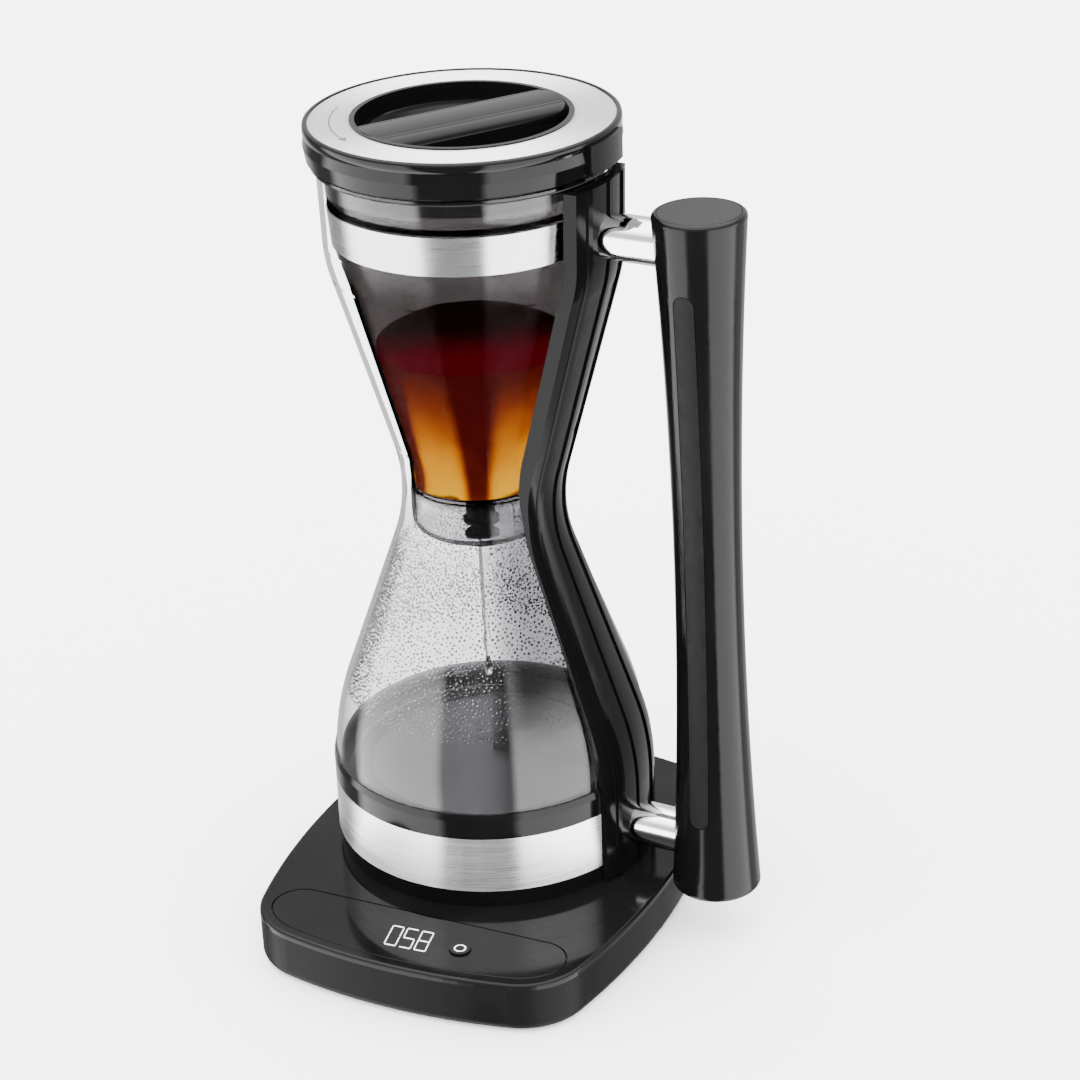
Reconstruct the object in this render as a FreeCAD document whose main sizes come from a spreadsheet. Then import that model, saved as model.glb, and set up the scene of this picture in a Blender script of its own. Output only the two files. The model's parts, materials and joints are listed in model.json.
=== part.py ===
"""Cold brew coffee maker: an hourglass glass carafe with a hand-held brewer in its mouth, standing on
a low base that holds a vacuum pump.

The model is built round the carafe's own axis, with the ground at height zero, the control panel at the
front (-Y) and the handle at the right (+X). The carafe can stand on its base at any angle, and stands
slightly turned. At the end every sub-part is shifted so that the origin is the middle of the footprint.
All sizes are millimetres.
"""
import FreeCAD, Part
import math
import os
import Sketcher

SIZES = [
    # name, value, what it is
    # ---- base
    ("ground_gap", 0.6, "height of the rubber feet below the housing"),
    ("base_left", 81.2, "left side of the base, from the carafe axis"),
    ("handle_air", 0.3, "air between the base's right side and the handle"),
    ("base_front", 125, "front of the base, ahead of the carafe axis"),
    ("base_back", 87, "back of the base, behind the carafe axis"),
    ("base_end_bow", 260, "radius of the bowed front and back of the base"),
    ("base_side_bow", 340, "radius of the bowed sides of the base"),
    ("base_corner_round", 32, "rounding of the base's corners in plan"),
    ("base_top", 25, "height of the top plate's upper face"),
    ("plate_thickness", 3, "top plate"),
    ("base_wall", 2.6, "wall of the housing"),
    ("base_bottom_round", 4.2, "rounding round the housing's lower edge"),
    ("base_top_round", 1.6, "rounding round the top plate's edge"),
    ("cover_margin", 2.6, "from the lower rounding to the bottom cover"),
    ("cover_thickness", 2.2, "bottom cover"),
    ("foot_pad_radius", 9, "rubber foot"),
    ("foot_pad_sunk", 1, "how deep a rubber foot is let into the cover"),
    ("foot_pad_inset", 34, "rubber foot centre, in from the sides of the plan"),
    ("panel_left_margin", 15.2, "control panel, in from the base's left side"),
    ("panel_right_margin", 17.8, "control panel, in from the base's right side"),
    ("panel_front_margin", 6, "control panel, in from the base's front"),
    ("panel_depth", 35.5, "control panel, front to back"),
    ("panel_corner", 12, "rounding of the control panel's corners"),
    ("panel_thickness", 1.2, "control panel"),
    ("seam_gap", 0.3, "gap round inset pieces"),
    ("button_x", 30.5, "start button, right of the carafe axis"),
    ("button_margin", 22.5, "start button's centre, in from the base's front"),
    ("button_radius", 4.6, "start button"),
    ("button_travel", 0.8, "how far the start button goes down"),
    ("button_proud", 0.9, "start button above the panel"),
    ("display_left", 9, "left edge of the display, left of the carafe axis"),
    ("display_width", 31.5, "display"),
    ("display_depth", 20.5, "display"),
    ("board_margin", 12, "board and display, in from the base's front"),
    ("board_left", 32, "left edge of the board, left of the carafe axis"),
    ("board_width", 76, "circuit board"),
    ("board_depth", 27, "circuit board"),
    ("board_thickness", 1.6, "circuit board"),
    ("board_height", 11, "underside of the circuit board"),
    ("nozzle_radius", 3, "suction nozzle"),
    ("nozzle_height", 5, "suction nozzle above the top plate"),
    # ---- carafe
    ("carafe_turn", -3.5, "how far the carafe is turned on its base, in degrees"),
    ("seat_gap", 0.2, "air between the carafe's foot and the top plate"),
    ("glass_foot_radius", 72.2, "glass above the collar"),
    ("sleeve_wall", 8.3, "wall of the black sleeve under the lower band"),
    ("band_rise", 8.2, "lower edge of the lower steel band, above the carafe's foot"),
    ("band_height", 27.1, "lower steel band"),
    ("band_wall", 0.8, "steel of the lower band"),
    ("collar_height", 12.1, "black collar that clamps the glass"),
    ("floor_gasket", 1.5, "gasket between the foot and the glass"),
    ("bulb_foot", 26, "upright foot of the lower bulb"),
    ("bulb_height", 112.5, "from where the bulb starts to close up to the neck"),
    ("cone_height", 110.9, "from the neck up to where the glass turns upright"),
    ("mouth_height", 40.6, "upright mouth of the glass"),
    ("neck_corner_radius", 30.6, "radius where the two cones of the glass would cross"),
    ("rim_radius", 62.6, "outside of the glass at the rim"),
    ("mouth_taper", 0.9, "how much narrower the mouth is at its lower end"),
    ("glass_wall", 2.2, "wall of the glass"),
    ("glass_base", 3, "thickness of the glass floor"),
    ("bulb_round", 130, "rounding of the bulb"),
    ("neck_round", 76, "rounding of the neck"),
    ("mouth_round", 60, "rounding below the mouth"),
    # ---- spine and handle
    ("spine_gap", 0.15, "clearance between spine and glass"),
    ("spine_proud_low", 1.4, "spine's thickness along the bulb"),
    ("spine_proud_high", 5.8, "spine's thickness along the mouth"),
    ("spine_proud_foot", 3.4, "spine's thickness over the lower band, from the glass"),
    ("spine_foot_rise", 0.8, "lower end of the spine, above the carafe's foot"),
    ("spine_top_drop", 2, "upper end of the spine, below the rim"),
    ("spine_half_low", 25, "half width of the spine at its foot"),
    ("spine_half_neck", 17.2, "half width of the spine at the neck"),
    ("spine_half_high", 22.6, "half width of the spine at the mouth"),
    ("spine_bulb_round", 110, "rounding of the spine's back along the bulb"),
    ("spine_neck_round", 62, "rounding of the spine's back along the neck"),
    ("rib_proud", 0.9, "height of the three ribs on the spine"),
    ("rib_width", 2.6, "width of a rib"),
    ("rib_share", 0.68, "place of the outer ribs, as a share of the half width"),
    ("post_radius", 10, "chrome post"),
    ("upper_post_drop", 26, "axis of the upper post, below the rim"),
    ("lower_post_rise", 19.4, "axis of the lower post, above the carafe's foot"),
    ("handle_reach", 41.9, "handle axis at its foot, out from the glass"),
    ("handle_lean", 5.3, "how much nearer the handle is at its head"),
    ("handle_foot_drop", 2, "lower end of the handle, below the top plate"),
    ("handle_head_drop", 10, "upper end of the handle, below the rim"),
    ("handle_end_radius", 20, "handle at its ends"),
    ("handle_waist_radius", 14.9, "handle at its waist"),
    ("handle_waist_rise", 175, "waist of the handle, above its foot"),
    ("handle_edge_round", 2, "rounding round the handle's ends"),
    ("cap_thickness", 3, "end caps of the handle"),
    ("inlay_foot_margin", 37, "grip inlays, in from the handle's lower end"),
    ("inlay_head_margin", 31, "grip inlays, in from the handle's upper end"),
    ("inlay_width", 9, "grip inlay"),
    ("inlay_depth", 1.6, "depth of the grip inlay's seat"),
    # ---- brewer
    ("brewer_gap", 0.4, "clearance between brewer and glass at the mouth"),
    ("brewer_wall", 1.8, "wall of the brewer"),
    ("flange_lip", 2.4, "how far the brewer's flange reaches over the glass"),
    ("flange_thickness", 1.2, "flange that rests on the glass"),
    ("seal_thickness", 0.8, "seal under the flange"),
    ("brew_band_drop", 15, "upper edge of the upper steel band, below the rim"),
    ("brew_band_height", 17, "upper steel band"),
    ("brew_band_wall", 0.6, "steel of the upper band"),
    ("brew_band_air", 3.7, "upper band's lower edge, in from the glass"),
    ("cup_rise", 13.5, "where the brewer's cone turns into its cup, above the neck"),
    ("cup_depth", 32.2, "brewer's cup in the neck"),
    ("cup_inset", 0.2, "brewer's cup, in from the neck's corner"),
    ("cup_round", 7, "rounding under the cup"),
    ("cone_round", 24, "rounding where the cone turns into the cup"),
    ("brew_mouth_round", 30, "rounding where the cone turns upright"),
    ("filter_drop", 9, "filter's seat, below the top of the cup"),
    ("filter_gap", 1.9, "clearance round the filter"),
    ("pull_height", 18, "knob by which the filter is lifted out"),
    ("valve_radius", 6.6, "valve housing in the cup"),
    ("valve_drop", 6, "top of the valve housing, below the filter's seat"),
    ("stem_radius", 4.5, "stem of the drip valve"),
    ("stem_gap", 0.35, "clearance round the stem"),
    ("drip_radius", 7.7, "button at the foot of the drip valve"),
    ("drip_drop", 8.8, "lower face of the drip valve, below the cup"),
    ("drip_thickness", 3.4, "button at the foot of the drip valve"),
    ("drip_travel", 1.6, "how far the drip valve is pushed up"),
    # ---- lid
    ("lid_rise", 15.9, "top of the steel disc, above the brewer's flange"),
    ("lid_air", 0.7, "lower edge of the lid, above the brewer's flange"),
    ("lid_skirt", 1.4, "lid's lower edge, out from the flange"),
    ("lid_swell", 1, "widest part of the lid, out from its lower edge"),
    ("lid_wall", 3, "wall of the lid"),
    ("disc_margin", 2.1, "steel disc, in from the widest part of the lid"),
    ("disc_thickness", 1.2, "steel disc on the lid"),
    ("plug_gap", 4.2, "between the lid's plug and the brewer"),
    ("plug_depth", 10.1, "lower end of the plug, below the flange"),
    ("gasket_proud", 3.3, "lid gasket, out from the plug"),
    ("dish_margin", 7.6, "turning grip, in from the plug"),
    ("dish_depth", 17, "grip's dish, below the steel disc"),
    ("dish_wall", 1.4, "wall of the grip's dish"),
    ("grip_gap", 0.35, "clearance round the turning grip"),
    ("lip_reach", 0.9, "grip's lip, out over the steel disc"),
    ("lip_thickness", 0.7, "grip's lip"),
    ("bar_width", 31, "grip bar"),
    ("bar_proud", 1, "grip bar above the steel disc"),
    ("bar_flare", 2.5, "how much wider the grip bar is at its foot, on each side"),
    ("bar_shoulder", 7, "height of the grip bar's round shoulders"),
    ("bar_angle", 58, "direction of the grip bar, from +X, in degrees"),
    ("lug_proud", 1.8, "thumb lug, out from the lid"),
    ("lug_angle", 24, "angle that the thumb lug spans, in degrees"),
]

doc = FreeCAD.newDocument("cold_brew_maker")
sheet = doc.addObject("Spreadsheet::Sheet", "sizes")
for row, (name, value, note) in enumerate(SIZES, start=1):
    sheet.set("A%d" % row, name)
    sheet.set("B%d" % row, str(value))
    sheet.set("C%d" % row, note)
    sheet.setAlias("B%d" % row, name)
doc.recompute()


class Size:
    """A length that knows its value and the spreadsheet expression that gives it."""

    def __init__(self, value, text):
        self.value = float(value)
        self.text = text

    def join(self, other, sign, result):
        text = other.text if isinstance(other, Size) else repr(other)
        return Size(result, "(%s %s %s)" % (self.text, sign, text))

    def __float__(self):
        return self.value

    def __add__(self, other):
        return self.join(other, "+", self.value + float(other))

    def __sub__(self, other):
        return self.join(other, "-", self.value - float(other))

    def __mul__(self, other):
        return self.join(other, "*", self.value * float(other))

    def __truediv__(self, other):
        return self.join(other, "/", self.value / float(other))


class SizeBook:
    """Gives each named cell of the spreadsheet as a Size."""

    def __getattr__(self, name):
        return Size(sheet.get(name), "sizes." + name)


size = SizeBook()
SUB_PARTS = []
STANDING = FreeCAD.Placement()


def keep(item, label, place=None):
    """Names a sub-part and remembers where it stands, with a place of its own if it has one."""
    item.Label = label
    SUB_PARTS.append((item, STANDING.multiply(place or FreeCAD.Placement())))
    return item


def solid_feature(label, shape, place=None):
    """A sub-part whose shape is worked out here from the spreadsheet's sizes."""
    item = doc.addObject("Part::Feature", label)
    item.Shape = shape
    return keep(item, label, place)


# ------------------------------------------------------------------ sketched sub-parts
def origin_plane(body, role):
    return next(plane for plane in body.Origin.OriginFeatures if plane.Role == role)


def fix(sketch, kind, geometry, point, length):
    """Dimensions a sketch point from the origin, bound to the spreadsheet."""
    number = sketch.addConstraint(Sketcher.Constraint(kind, -1, 1, geometry, point, float(length)))
    sketch.setExpression("Constraints[%d]" % number, length.text)


def draw_outline(sketch, corners):
    """Draws a closed outline of straight edges, each corner a pair of sizes."""
    spots = [FreeCAD.Vector(float(across), float(up), 0) for across, up in corners]
    count = len(spots)
    for index in range(count):
        sketch.addGeometry(Part.LineSegment(spots[index], spots[(index + 1) % count]), False)
    for index in range(count):
        sketch.addConstraint(Sketcher.Constraint("Coincident", index, 2, (index + 1) % count, 1))
    for index, (across, up) in enumerate(corners):
        if float(across) == 0:
            sketch.addConstraint(Sketcher.Constraint("PointOnObject", index, 1, -2))
        else:
            fix(sketch, "DistanceX", index, 1, across)
        fix(sketch, "DistanceY", index, 1, up)


def turned(label, corners, place=None):
    """A body of revolution about the vertical axis, from a closed outline of (radius, height)."""
    body = doc.addObject("PartDesign::Body", label)
    sketch = body.newObject("Sketcher::SketchObject", label + "_outline")
    sketch.AttachmentSupport = [(origin_plane(body, "XZ_Plane"), "")]
    sketch.MapMode = "FlatFace"
    draw_outline(sketch, corners)
    turn = body.newObject("PartDesign::Revolution", label + "_turn")
    turn.Profile = sketch
    turn.ReferenceAxis = (sketch, ["V_Axis"])
    turn.Angle = 360
    return keep(body, label, place)


def ring(label, inner, outer, bottom, top, place=None):
    """A plain ring."""
    return turned(label, [(inner, bottom), (outer, bottom), (outer, top), (inner, top)], place)


ZERO = Size(0, "0")

# ------------------------------------------------------------------ heights and radii that follow
BASE_SEAM = size.base_top - size.plate_thickness
FOOT_BOTTOM = size.base_top + size.seat_gap
BAND_BOTTOM = FOOT_BOTTOM + size.band_rise
BAND_TOP = BAND_BOTTOM + size.band_height
COLLAR_TOP = BAND_TOP + size.collar_height
GLASS_FLOOR = BAND_TOP + size.floor_gasket
GLASS_SHOULDER = GLASS_FLOOR + size.bulb_foot
NECK_HEIGHT = GLASS_SHOULDER + size.bulb_height
MOUTH_HEIGHT = NECK_HEIGHT + size.cone_height
RIM_HEIGHT = MOUTH_HEIGHT + size.mouth_height
SLEEVE_RADIUS = size.glass_foot_radius + 0.1
SLEEVE_INNER = SLEEVE_RADIUS - size.sleeve_wall
MOUTH_RADIUS = size.rim_radius - size.mouth_taper

SPINE_FOOT = FOOT_BOTTOM + size.spine_foot_rise
SPINE_TOP = RIM_HEIGHT - size.spine_top_drop
SPINE_FOOT_RADIUS = size.glass_foot_radius + size.spine_proud_foot
HANDLE_FOOT_X = size.glass_foot_radius + size.handle_reach
HANDLE_HEAD_X = HANDLE_FOOT_X - size.handle_lean
HANDLE_FOOT = size.base_top - size.handle_foot_drop
HANDLE_HEAD = RIM_HEIGHT - size.handle_head_drop
HANDLE_WAIST = HANDLE_FOOT + size.handle_waist_rise

SEAL_BOTTOM = RIM_HEIGHT + 0.1
FLANGE_BOTTOM = SEAL_BOTTOM + size.seal_thickness
FLANGE_TOP = FLANGE_BOTTOM + size.flange_thickness
FLANGE_RADIUS = size.rim_radius + size.flange_lip
BREW_TOP_RADIUS = size.rim_radius - size.glass_wall - size.brewer_gap
BREW_BAND_TOP = RIM_HEIGHT - size.brew_band_drop
BREW_BAND_BOTTOM = BREW_BAND_TOP - size.brew_band_height
BREW_BAND_LOW_RADIUS = MOUTH_RADIUS - size.brew_band_air
CUP_RADIUS = size.neck_corner_radius - size.cup_inset
CUP_TOP = NECK_HEIGHT + size.cup_rise
CUP_BOTTOM = CUP_TOP - size.cup_depth
FILTER_SEAT = CUP_TOP - size.filter_drop
VALVE_TOP = FILTER_SEAT - size.valve_drop
DRIP_BOTTOM = CUP_BOTTOM - size.drip_drop

LID_TOP = FLANGE_TOP + size.lid_rise
LID_DECK = LID_TOP - size.disc_thickness
LID_UNDER = LID_DECK - size.lid_wall
LID_BOTTOM = FLANGE_TOP + size.lid_air
LID_SEAT = FLANGE_TOP + 0.3
LID_FOOT_RADIUS = FLANGE_RADIUS + size.lid_skirt
LID_RADIUS = LID_FOOT_RADIUS + size.lid_swell
DISC_RADIUS = LID_RADIUS - size.disc_margin
LUG_RADIUS = LID_RADIUS + size.lug_proud
PLUG_RADIUS = BREW_TOP_RADIUS - size.brewer_wall - size.plug_gap
PLUG_BOTTOM = FLANGE_TOP - size.plug_depth
GASKET_RADIUS = PLUG_RADIUS + size.gasket_proud
DISH_RADIUS = PLUG_RADIUS - size.dish_margin
DISH_FLOOR = LID_TOP - size.dish_depth
GRIP_HOLE = DISH_RADIUS + size.grip_gap

BASE_RIGHT = HANDLE_FOOT_X - size.handle_end_radius - size.handle_air
BASE_WIDTH = BASE_RIGHT + size.base_left
BASE_DEPTH = size.base_front + size.base_back
BASE_MIDDLE_X = 0.5 * (float(BASE_RIGHT) - float(size.base_left))
BASE_MIDDLE_Y = 0.5 * (float(size.base_back) - float(size.base_front))


# ------------------------------------------------------------------ shapes worked out from the sizes
def rounded_path(corners, rounds):
    """Edges of an open path in the XZ plane: straight runs joined by tangent arcs at the corners."""
    spots = [FreeCAD.Vector(across, 0, up) for across, up in corners]
    edges = []
    start = spots[0]
    for before, corner, after, radius in zip(spots, spots[1:], spots[2:], rounds):
        into = (corner - before).normalize()
        out = (after - corner).normalize()
        turn = into.getAngle(out)
        reach = radius * math.tan(turn / 2)
        first = corner - into * reach
        last = corner + out * reach
        bow = (out - into).normalize()
        middle = corner + bow * (radius / math.cos(turn / 2) - radius)
        edges.append(Part.makeLine(start, first))
        edges.append(Part.Arc(first, middle, last).toShape())
        start = last
    edges.append(Part.makeLine(start, spots[-1]))
    return edges


def offset_path(corners, rounds, inward):
    """The same path moved to the left of its run by a distance, with its arcs kept concentric."""
    spots = [FreeCAD.Vector(across, 0, up) for across, up in corners]
    runs = [(b - a).normalize() for a, b in zip(spots, spots[1:])]
    sides = [FreeCAD.Vector(-run.z, 0, run.x) for run in runs]
    moved = [spots[0] + sides[0] * inward]
    new_rounds = []
    for index, radius in enumerate(rounds):
        spread = sides[index] + sides[index + 1]
        spread = spread / (1 + sides[index].dot(sides[index + 1]))
        moved.append(spots[index + 1] + spread * inward)
        bend = runs[index].cross(runs[index + 1]).y
        new_rounds.append(radius + (inward if bend > 0 else -inward))
    moved.append(spots[-1] + sides[-1] * inward)
    return [(spot.x, spot.z) for spot in moved], new_rounds


def turn_between(outer, inner, angle=360):
    """Turns the area between two paths that run upwards about the vertical axis."""
    ends = [inner[0].Vertexes[0].Point, outer[0].Vertexes[0].Point]
    tops = [outer[-1].Vertexes[-1].Point, inner[-1].Vertexes[-1].Point]
    edges = [Part.makeLine(*ends)] + outer + [Part.makeLine(*tops)] + inner
    wire = Part.Wire(Part.sortEdges(edges)[0])
    return Part.Face(wire).revolve(FreeCAD.Vector(), FreeCAD.Vector(0, 0, 1), angle)


def plan_outline(inset, height):
    """The base's plan, inset all round: four bowed sides joined by tangent corner arcs."""
    end_bow, side_bow = float(size.base_end_bow), float(size.base_side_bow)
    corner_round = float(size.base_corner_round)
    # centres of the bows at the back (+Y) and the right (+X), as seen from the middle of the plan
    back_centre = FreeCAD.Vector(0, float(BASE_DEPTH) / 2 - end_bow, 0)
    right_centre = FreeCAD.Vector(float(BASE_WIDTH) / 2 - side_bow, 0, 0)
    # the corner's centre lies one bow radius less the corner radius from both
    apart = right_centre - back_centre
    from_back, from_right = end_bow - corner_round, side_bow - corner_round
    along = (from_back ** 2 - from_right ** 2 + apart.Length ** 2) / (2 * apart.Length)
    off = math.sqrt(from_back ** 2 - along ** 2)
    run = FreeCAD.Vector(apart).normalize()
    corner = back_centre + run * along + FreeCAD.Vector(run.y, -run.x, 0) * off
    back_end = corner + (corner - back_centre).normalize() * (corner_round - inset)
    side_end = corner + (corner - right_centre).normalize() * (corner_round - inset)
    bulge = corner + ((back_end + side_end) * 0.5 - corner).normalize() * (corner_round - inset)
    right, back = float(BASE_WIDTH) / 2 - inset, float(BASE_DEPTH) / 2 - inset
    middle = FreeCAD.Vector(BASE_MIDDLE_X, BASE_MIDDLE_Y, height)

    def spot(point, across, along_y):
        return middle + FreeCAD.Vector(point.x * across, point.y * along_y, 0)

    right_tip, back_tip = FreeCAD.Vector(right, 0, 0), FreeCAD.Vector(0, back, 0)
    edges = []
    for across, end in ((1, 1), (-1, -1)):
        edges += [
            Part.Arc(spot(side_end, across, -end), spot(right_tip, across, end),
                     spot(side_end, across, end)).toShape(),
            Part.Arc(spot(side_end, across, end), spot(bulge, across, end), spot(back_end, across, end)).toShape(),
            Part.Arc(spot(back_end, across, end), spot(back_tip, across, end),
                     spot(back_end, -across, end)).toShape(),
            Part.Arc(spot(back_end, -across, end), spot(bulge, -across, end),
                     spot(side_end, -across, end)).toShape()]
    return Part.Wire(edges)


def plan_block(inset, bottom, top):
    """A block on the base's plan, inset all round."""
    return Part.Face(plan_outline(inset, bottom)).extrude(FreeCAD.Vector(0, 0, top - bottom))


def round_level_edge(block, height, radius):
    """Rounds the closed edge that lies level at one height."""
    level = [edge for edge in block.Edges
             if abs(edge.BoundBox.ZMin - height) < 0.01 and abs(edge.BoundBox.ZMax - height) < 0.01]
    return block.makeFillet(radius, level)


def cylinder(radius, bottom, top, across=0.0, along=0.0):
    return Part.makeCylinder(float(radius), float(top) - float(bottom),
                             FreeCAD.Vector(float(across), float(along), float(bottom)))


# ------------------------------------------------------------------ base
COVER_INSET = size.base_bottom_round + size.cover_margin
FOOT_SEAT = size.ground_gap + size.foot_pad_sunk
COVER_TOP = size.ground_gap + size.cover_thickness
DECK_BOTTOM = BASE_SEAM - size.base_wall
BUTTON_Y = size.button_margin - size.base_front


def foot_places():
    """The four rubber feet, in from the corners of the plan."""
    reach_x = float(BASE_WIDTH) / 2 - float(size.foot_pad_inset)
    reach_y = float(BASE_DEPTH) / 2 - float(size.foot_pad_inset)
    return [(BASE_MIDDLE_X + side * reach_x, BASE_MIDDLE_Y + end * reach_y)
            for side in (-1, 1) for end in (-1, 1)]


def screw_places():
    """The four cover screws, beside the feet."""
    step = float(size.foot_pad_radius) + SCREW_HEAD_RADIUS + 2
    return [(across, along - math.copysign(step, along - BASE_MIDDLE_Y)) for across, along in foot_places()]


LEDGE_WIDTH = 3
SCREW_HEAD_RADIUS = 3
SCREW_SHANK_RADIUS = 1.5
SCREW_LENGTH = 11
BOSS_RADIUS = 4.5
BOARD_FRONT = float(size.board_margin) - float(size.base_front)
DISPLAY_BOX = (-float(size.display_left), float(size.display_width) - float(size.display_left),
               BOARD_FRONT, BOARD_FRONT + float(size.display_depth))
BOARD_BOX = (-float(size.board_left), float(size.board_width) - float(size.board_left),
             BOARD_FRONT, BOARD_FRONT + float(size.board_depth))
BOARD_POST_RADIUS = 3
BOARD_POST_INSET = 5
SWITCH_HALF = 3
SWITCH_HEIGHT = 2.2
CHIP_MARGIN = 4
CHIP_PITCH = 10
CHIP_WIDTH = 7
CHIP_LENGTH = 10
CHIP_HEIGHT = 1.4
INLET_RADIUS = 5
INLET_DEPTH = 12
INLET_HEIGHT = 11


def block(box, bottom, top, grow=0.0):
    """A block from (left, right, front, back), grown sideways by a clearance."""
    left, right, front, back = box
    corner = FreeCAD.Vector(left - grow, front - grow, float(bottom))
    return Part.makeBox(right - left + 2 * grow, back - front + 2 * grow, float(top) - float(bottom), corner)


def board_post_places():
    left, right, front, back = BOARD_BOX
    return [(across, along) for across in (left + BOARD_POST_INSET, right - BOARD_POST_INSET)
            for along in (front + BOARD_POST_INSET, back - BOARD_POST_INSET)]


def inlet_cylinder(radius, depth):
    back = BASE_MIDDLE_Y + float(BASE_DEPTH) / 2
    start = FreeCAD.Vector(BASE_MIDDLE_X, back - depth, INLET_HEIGHT)
    return Part.makeCylinder(radius, depth, start, FreeCAD.Vector(0, 1, 0))


def power_inlet():
    """The low voltage socket in the back, with its contact pin."""
    sleeve = inlet_cylinder(INLET_RADIUS - 0.05, INLET_DEPTH)
    sleeve = sleeve.cut(inlet_cylinder(INLET_RADIUS - 2, INLET_DEPTH - 3))
    return sleeve.fuse(inlet_cylinder(1, INLET_DEPTH - 2)).removeSplitter()


def base_housing():
    """The casing: walls all round, a deck below the top plate and bosses for the cover screws."""
    wall = float(size.base_wall)
    shell = plan_block(0, float(size.ground_gap), float(BASE_SEAM))
    shell = round_level_edge(shell, float(size.ground_gap), float(size.base_bottom_round))
    shell = shell.cut(plan_block(float(COVER_INSET), float(size.ground_gap), float(COVER_TOP)))
    floor_top = COVER_TOP + size.base_wall
    shell = shell.cut(plan_block(float(COVER_INSET) + LEDGE_WIDTH, float(COVER_TOP), float(floor_top)))
    shell = shell.cut(plan_block(wall, float(floor_top), float(DECK_BOTTOM)))
    for across, along in screw_places():
        shell = shell.fuse(cylinder(BOSS_RADIUS, COVER_TOP, DECK_BOTTOM, across, along))
        shell = shell.cut(cylinder(SCREW_SHANK_RADIUS, COVER_TOP, DECK_BOTTOM, across, along))
    gap = float(size.seam_gap)
    shell = shell.cut(block(DISPLAY_BOX, DECK_BOTTOM, BASE_SEAM, gap))
    shell = shell.cut(cylinder(size.button_radius + 1.4, DECK_BOTTOM, BASE_SEAM, size.button_x, BUTTON_Y))
    shell = shell.cut(cylinder(size.nozzle_radius, DECK_BOTTOM, BASE_SEAM))
    shell = shell.cut(inlet_cylinder(INLET_RADIUS, INLET_DEPTH))
    return shell.removeSplitter()


def control_panel_block(bottom, top, grow=0.0):
    """The panel's plan with its round corners, grown sideways by a clearance."""
    left = float(size.panel_left_margin) - float(size.base_left)
    right = float(BASE_RIGHT) - float(size.panel_right_margin)
    front = float(size.panel_front_margin) - float(size.base_front)
    plate = block((left, right, front, front + float(size.panel_depth)), bottom, top, grow)
    upright = [edge for edge in plate.Edges if edge.BoundBox.ZLength > 0.5 * (float(top) - float(bottom))]
    return plate.makeFillet(float(size.panel_corner) + grow, upright)


def base_top_plate():
    """The glossy top plate, with a seat for the control panel."""
    gap = float(size.seam_gap)
    plate = plan_block(0, float(BASE_SEAM), float(size.base_top))
    plate = round_level_edge(plate, float(size.base_top), float(size.base_top_round))
    seat = size.base_top - size.panel_thickness
    plate = plate.cut(control_panel_block(seat, size.base_top, gap))
    plate = plate.cut(block(DISPLAY_BOX, BASE_SEAM, seat, gap))
    plate = plate.cut(cylinder(size.button_radius + gap, BASE_SEAM, seat, size.button_x, BUTTON_Y))
    return plate.cut(cylinder(size.nozzle_radius, BASE_SEAM, size.base_top))


def control_panel():
    panel = control_panel_block(size.base_top - size.panel_thickness, size.base_top)
    hole = cylinder(size.button_radius + size.seam_gap, BASE_SEAM, size.base_top, size.button_x, BUTTON_Y)
    return panel.cut(hole)


def bottom_cover():
    """The cover below the housing, with pillars for the circuit board."""
    cover = plan_block(float(COVER_INSET + size.seam_gap), float(size.ground_gap), float(COVER_TOP))
    for across, along in screw_places():
        cover = cover.cut(cylinder(SCREW_SHANK_RADIUS, size.ground_gap, COVER_TOP, across, along))
        cover = cover.cut(cylinder(SCREW_HEAD_RADIUS, size.ground_gap, size.ground_gap + 1.4, across, along))
    for across, along in board_post_places():
        cover = cover.fuse(cylinder(BOARD_POST_RADIUS, COVER_TOP, size.board_height, across, along))
    for across, along in foot_places():
        cover = cover.cut(cylinder(size.foot_pad_radius + size.seam_gap, size.ground_gap, FOOT_SEAT, across, along))
    return cover.removeSplitter()


def cover_screw(across, along):
    """One pan head screw, its head sunk in the cover."""
    head = cylinder(SCREW_HEAD_RADIUS - 0.1, size.ground_gap + 0.1, size.ground_gap + 1.4, across, along)
    shank_top = size.ground_gap + SCREW_LENGTH
    shank = cylinder(SCREW_SHANK_RADIUS - 0.05, size.ground_gap + 1.4, shank_top, across, along)
    return head.fuse(shank)


def circuit_board():
    """The board with its driver chips and the start button's switch."""
    bottom = size.board_height
    top = bottom + size.board_thickness
    board = block(BOARD_BOX, bottom, top)
    middle_x, middle_y = float(size.button_x), float(BUTTON_Y)
    switch = (middle_x - SWITCH_HALF, middle_x + SWITCH_HALF, middle_y - SWITCH_HALF, middle_y + SWITCH_HALF)
    board = board.fuse(block(switch, top, top + SWITCH_HEIGHT))
    for place in (0, 1):
        left = BOARD_BOX[0] + CHIP_MARGIN + place * CHIP_PITCH
        front = BOARD_BOX[2] + 2 * CHIP_MARGIN
        chip = (left, left + CHIP_WIDTH, front, front + CHIP_LENGTH)
        board = board.fuse(block(chip, top, top + CHIP_HEIGHT))
    return board


COLLAR_THICKNESS = 1.6


def start_button():
    """The button cap with the collar that stops it under the top plate."""
    rest = size.base_top + size.button_proud
    collar_top = BASE_SEAM - size.seam_gap
    cap = cylinder(size.button_radius, collar_top - 1, rest, size.button_x, BUTTON_Y)
    collar = cylinder(size.button_radius + 1, collar_top - COLLAR_THICKNESS, collar_top, size.button_x, BUTTON_Y)
    switch_top = size.board_height + size.board_thickness + SWITCH_HEIGHT
    stem = cylinder(2, switch_top + size.button_travel + 0.15, collar_top - 1, size.button_x, BUTTON_Y)
    return cap.fuse([collar, stem]).removeSplitter()


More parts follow.
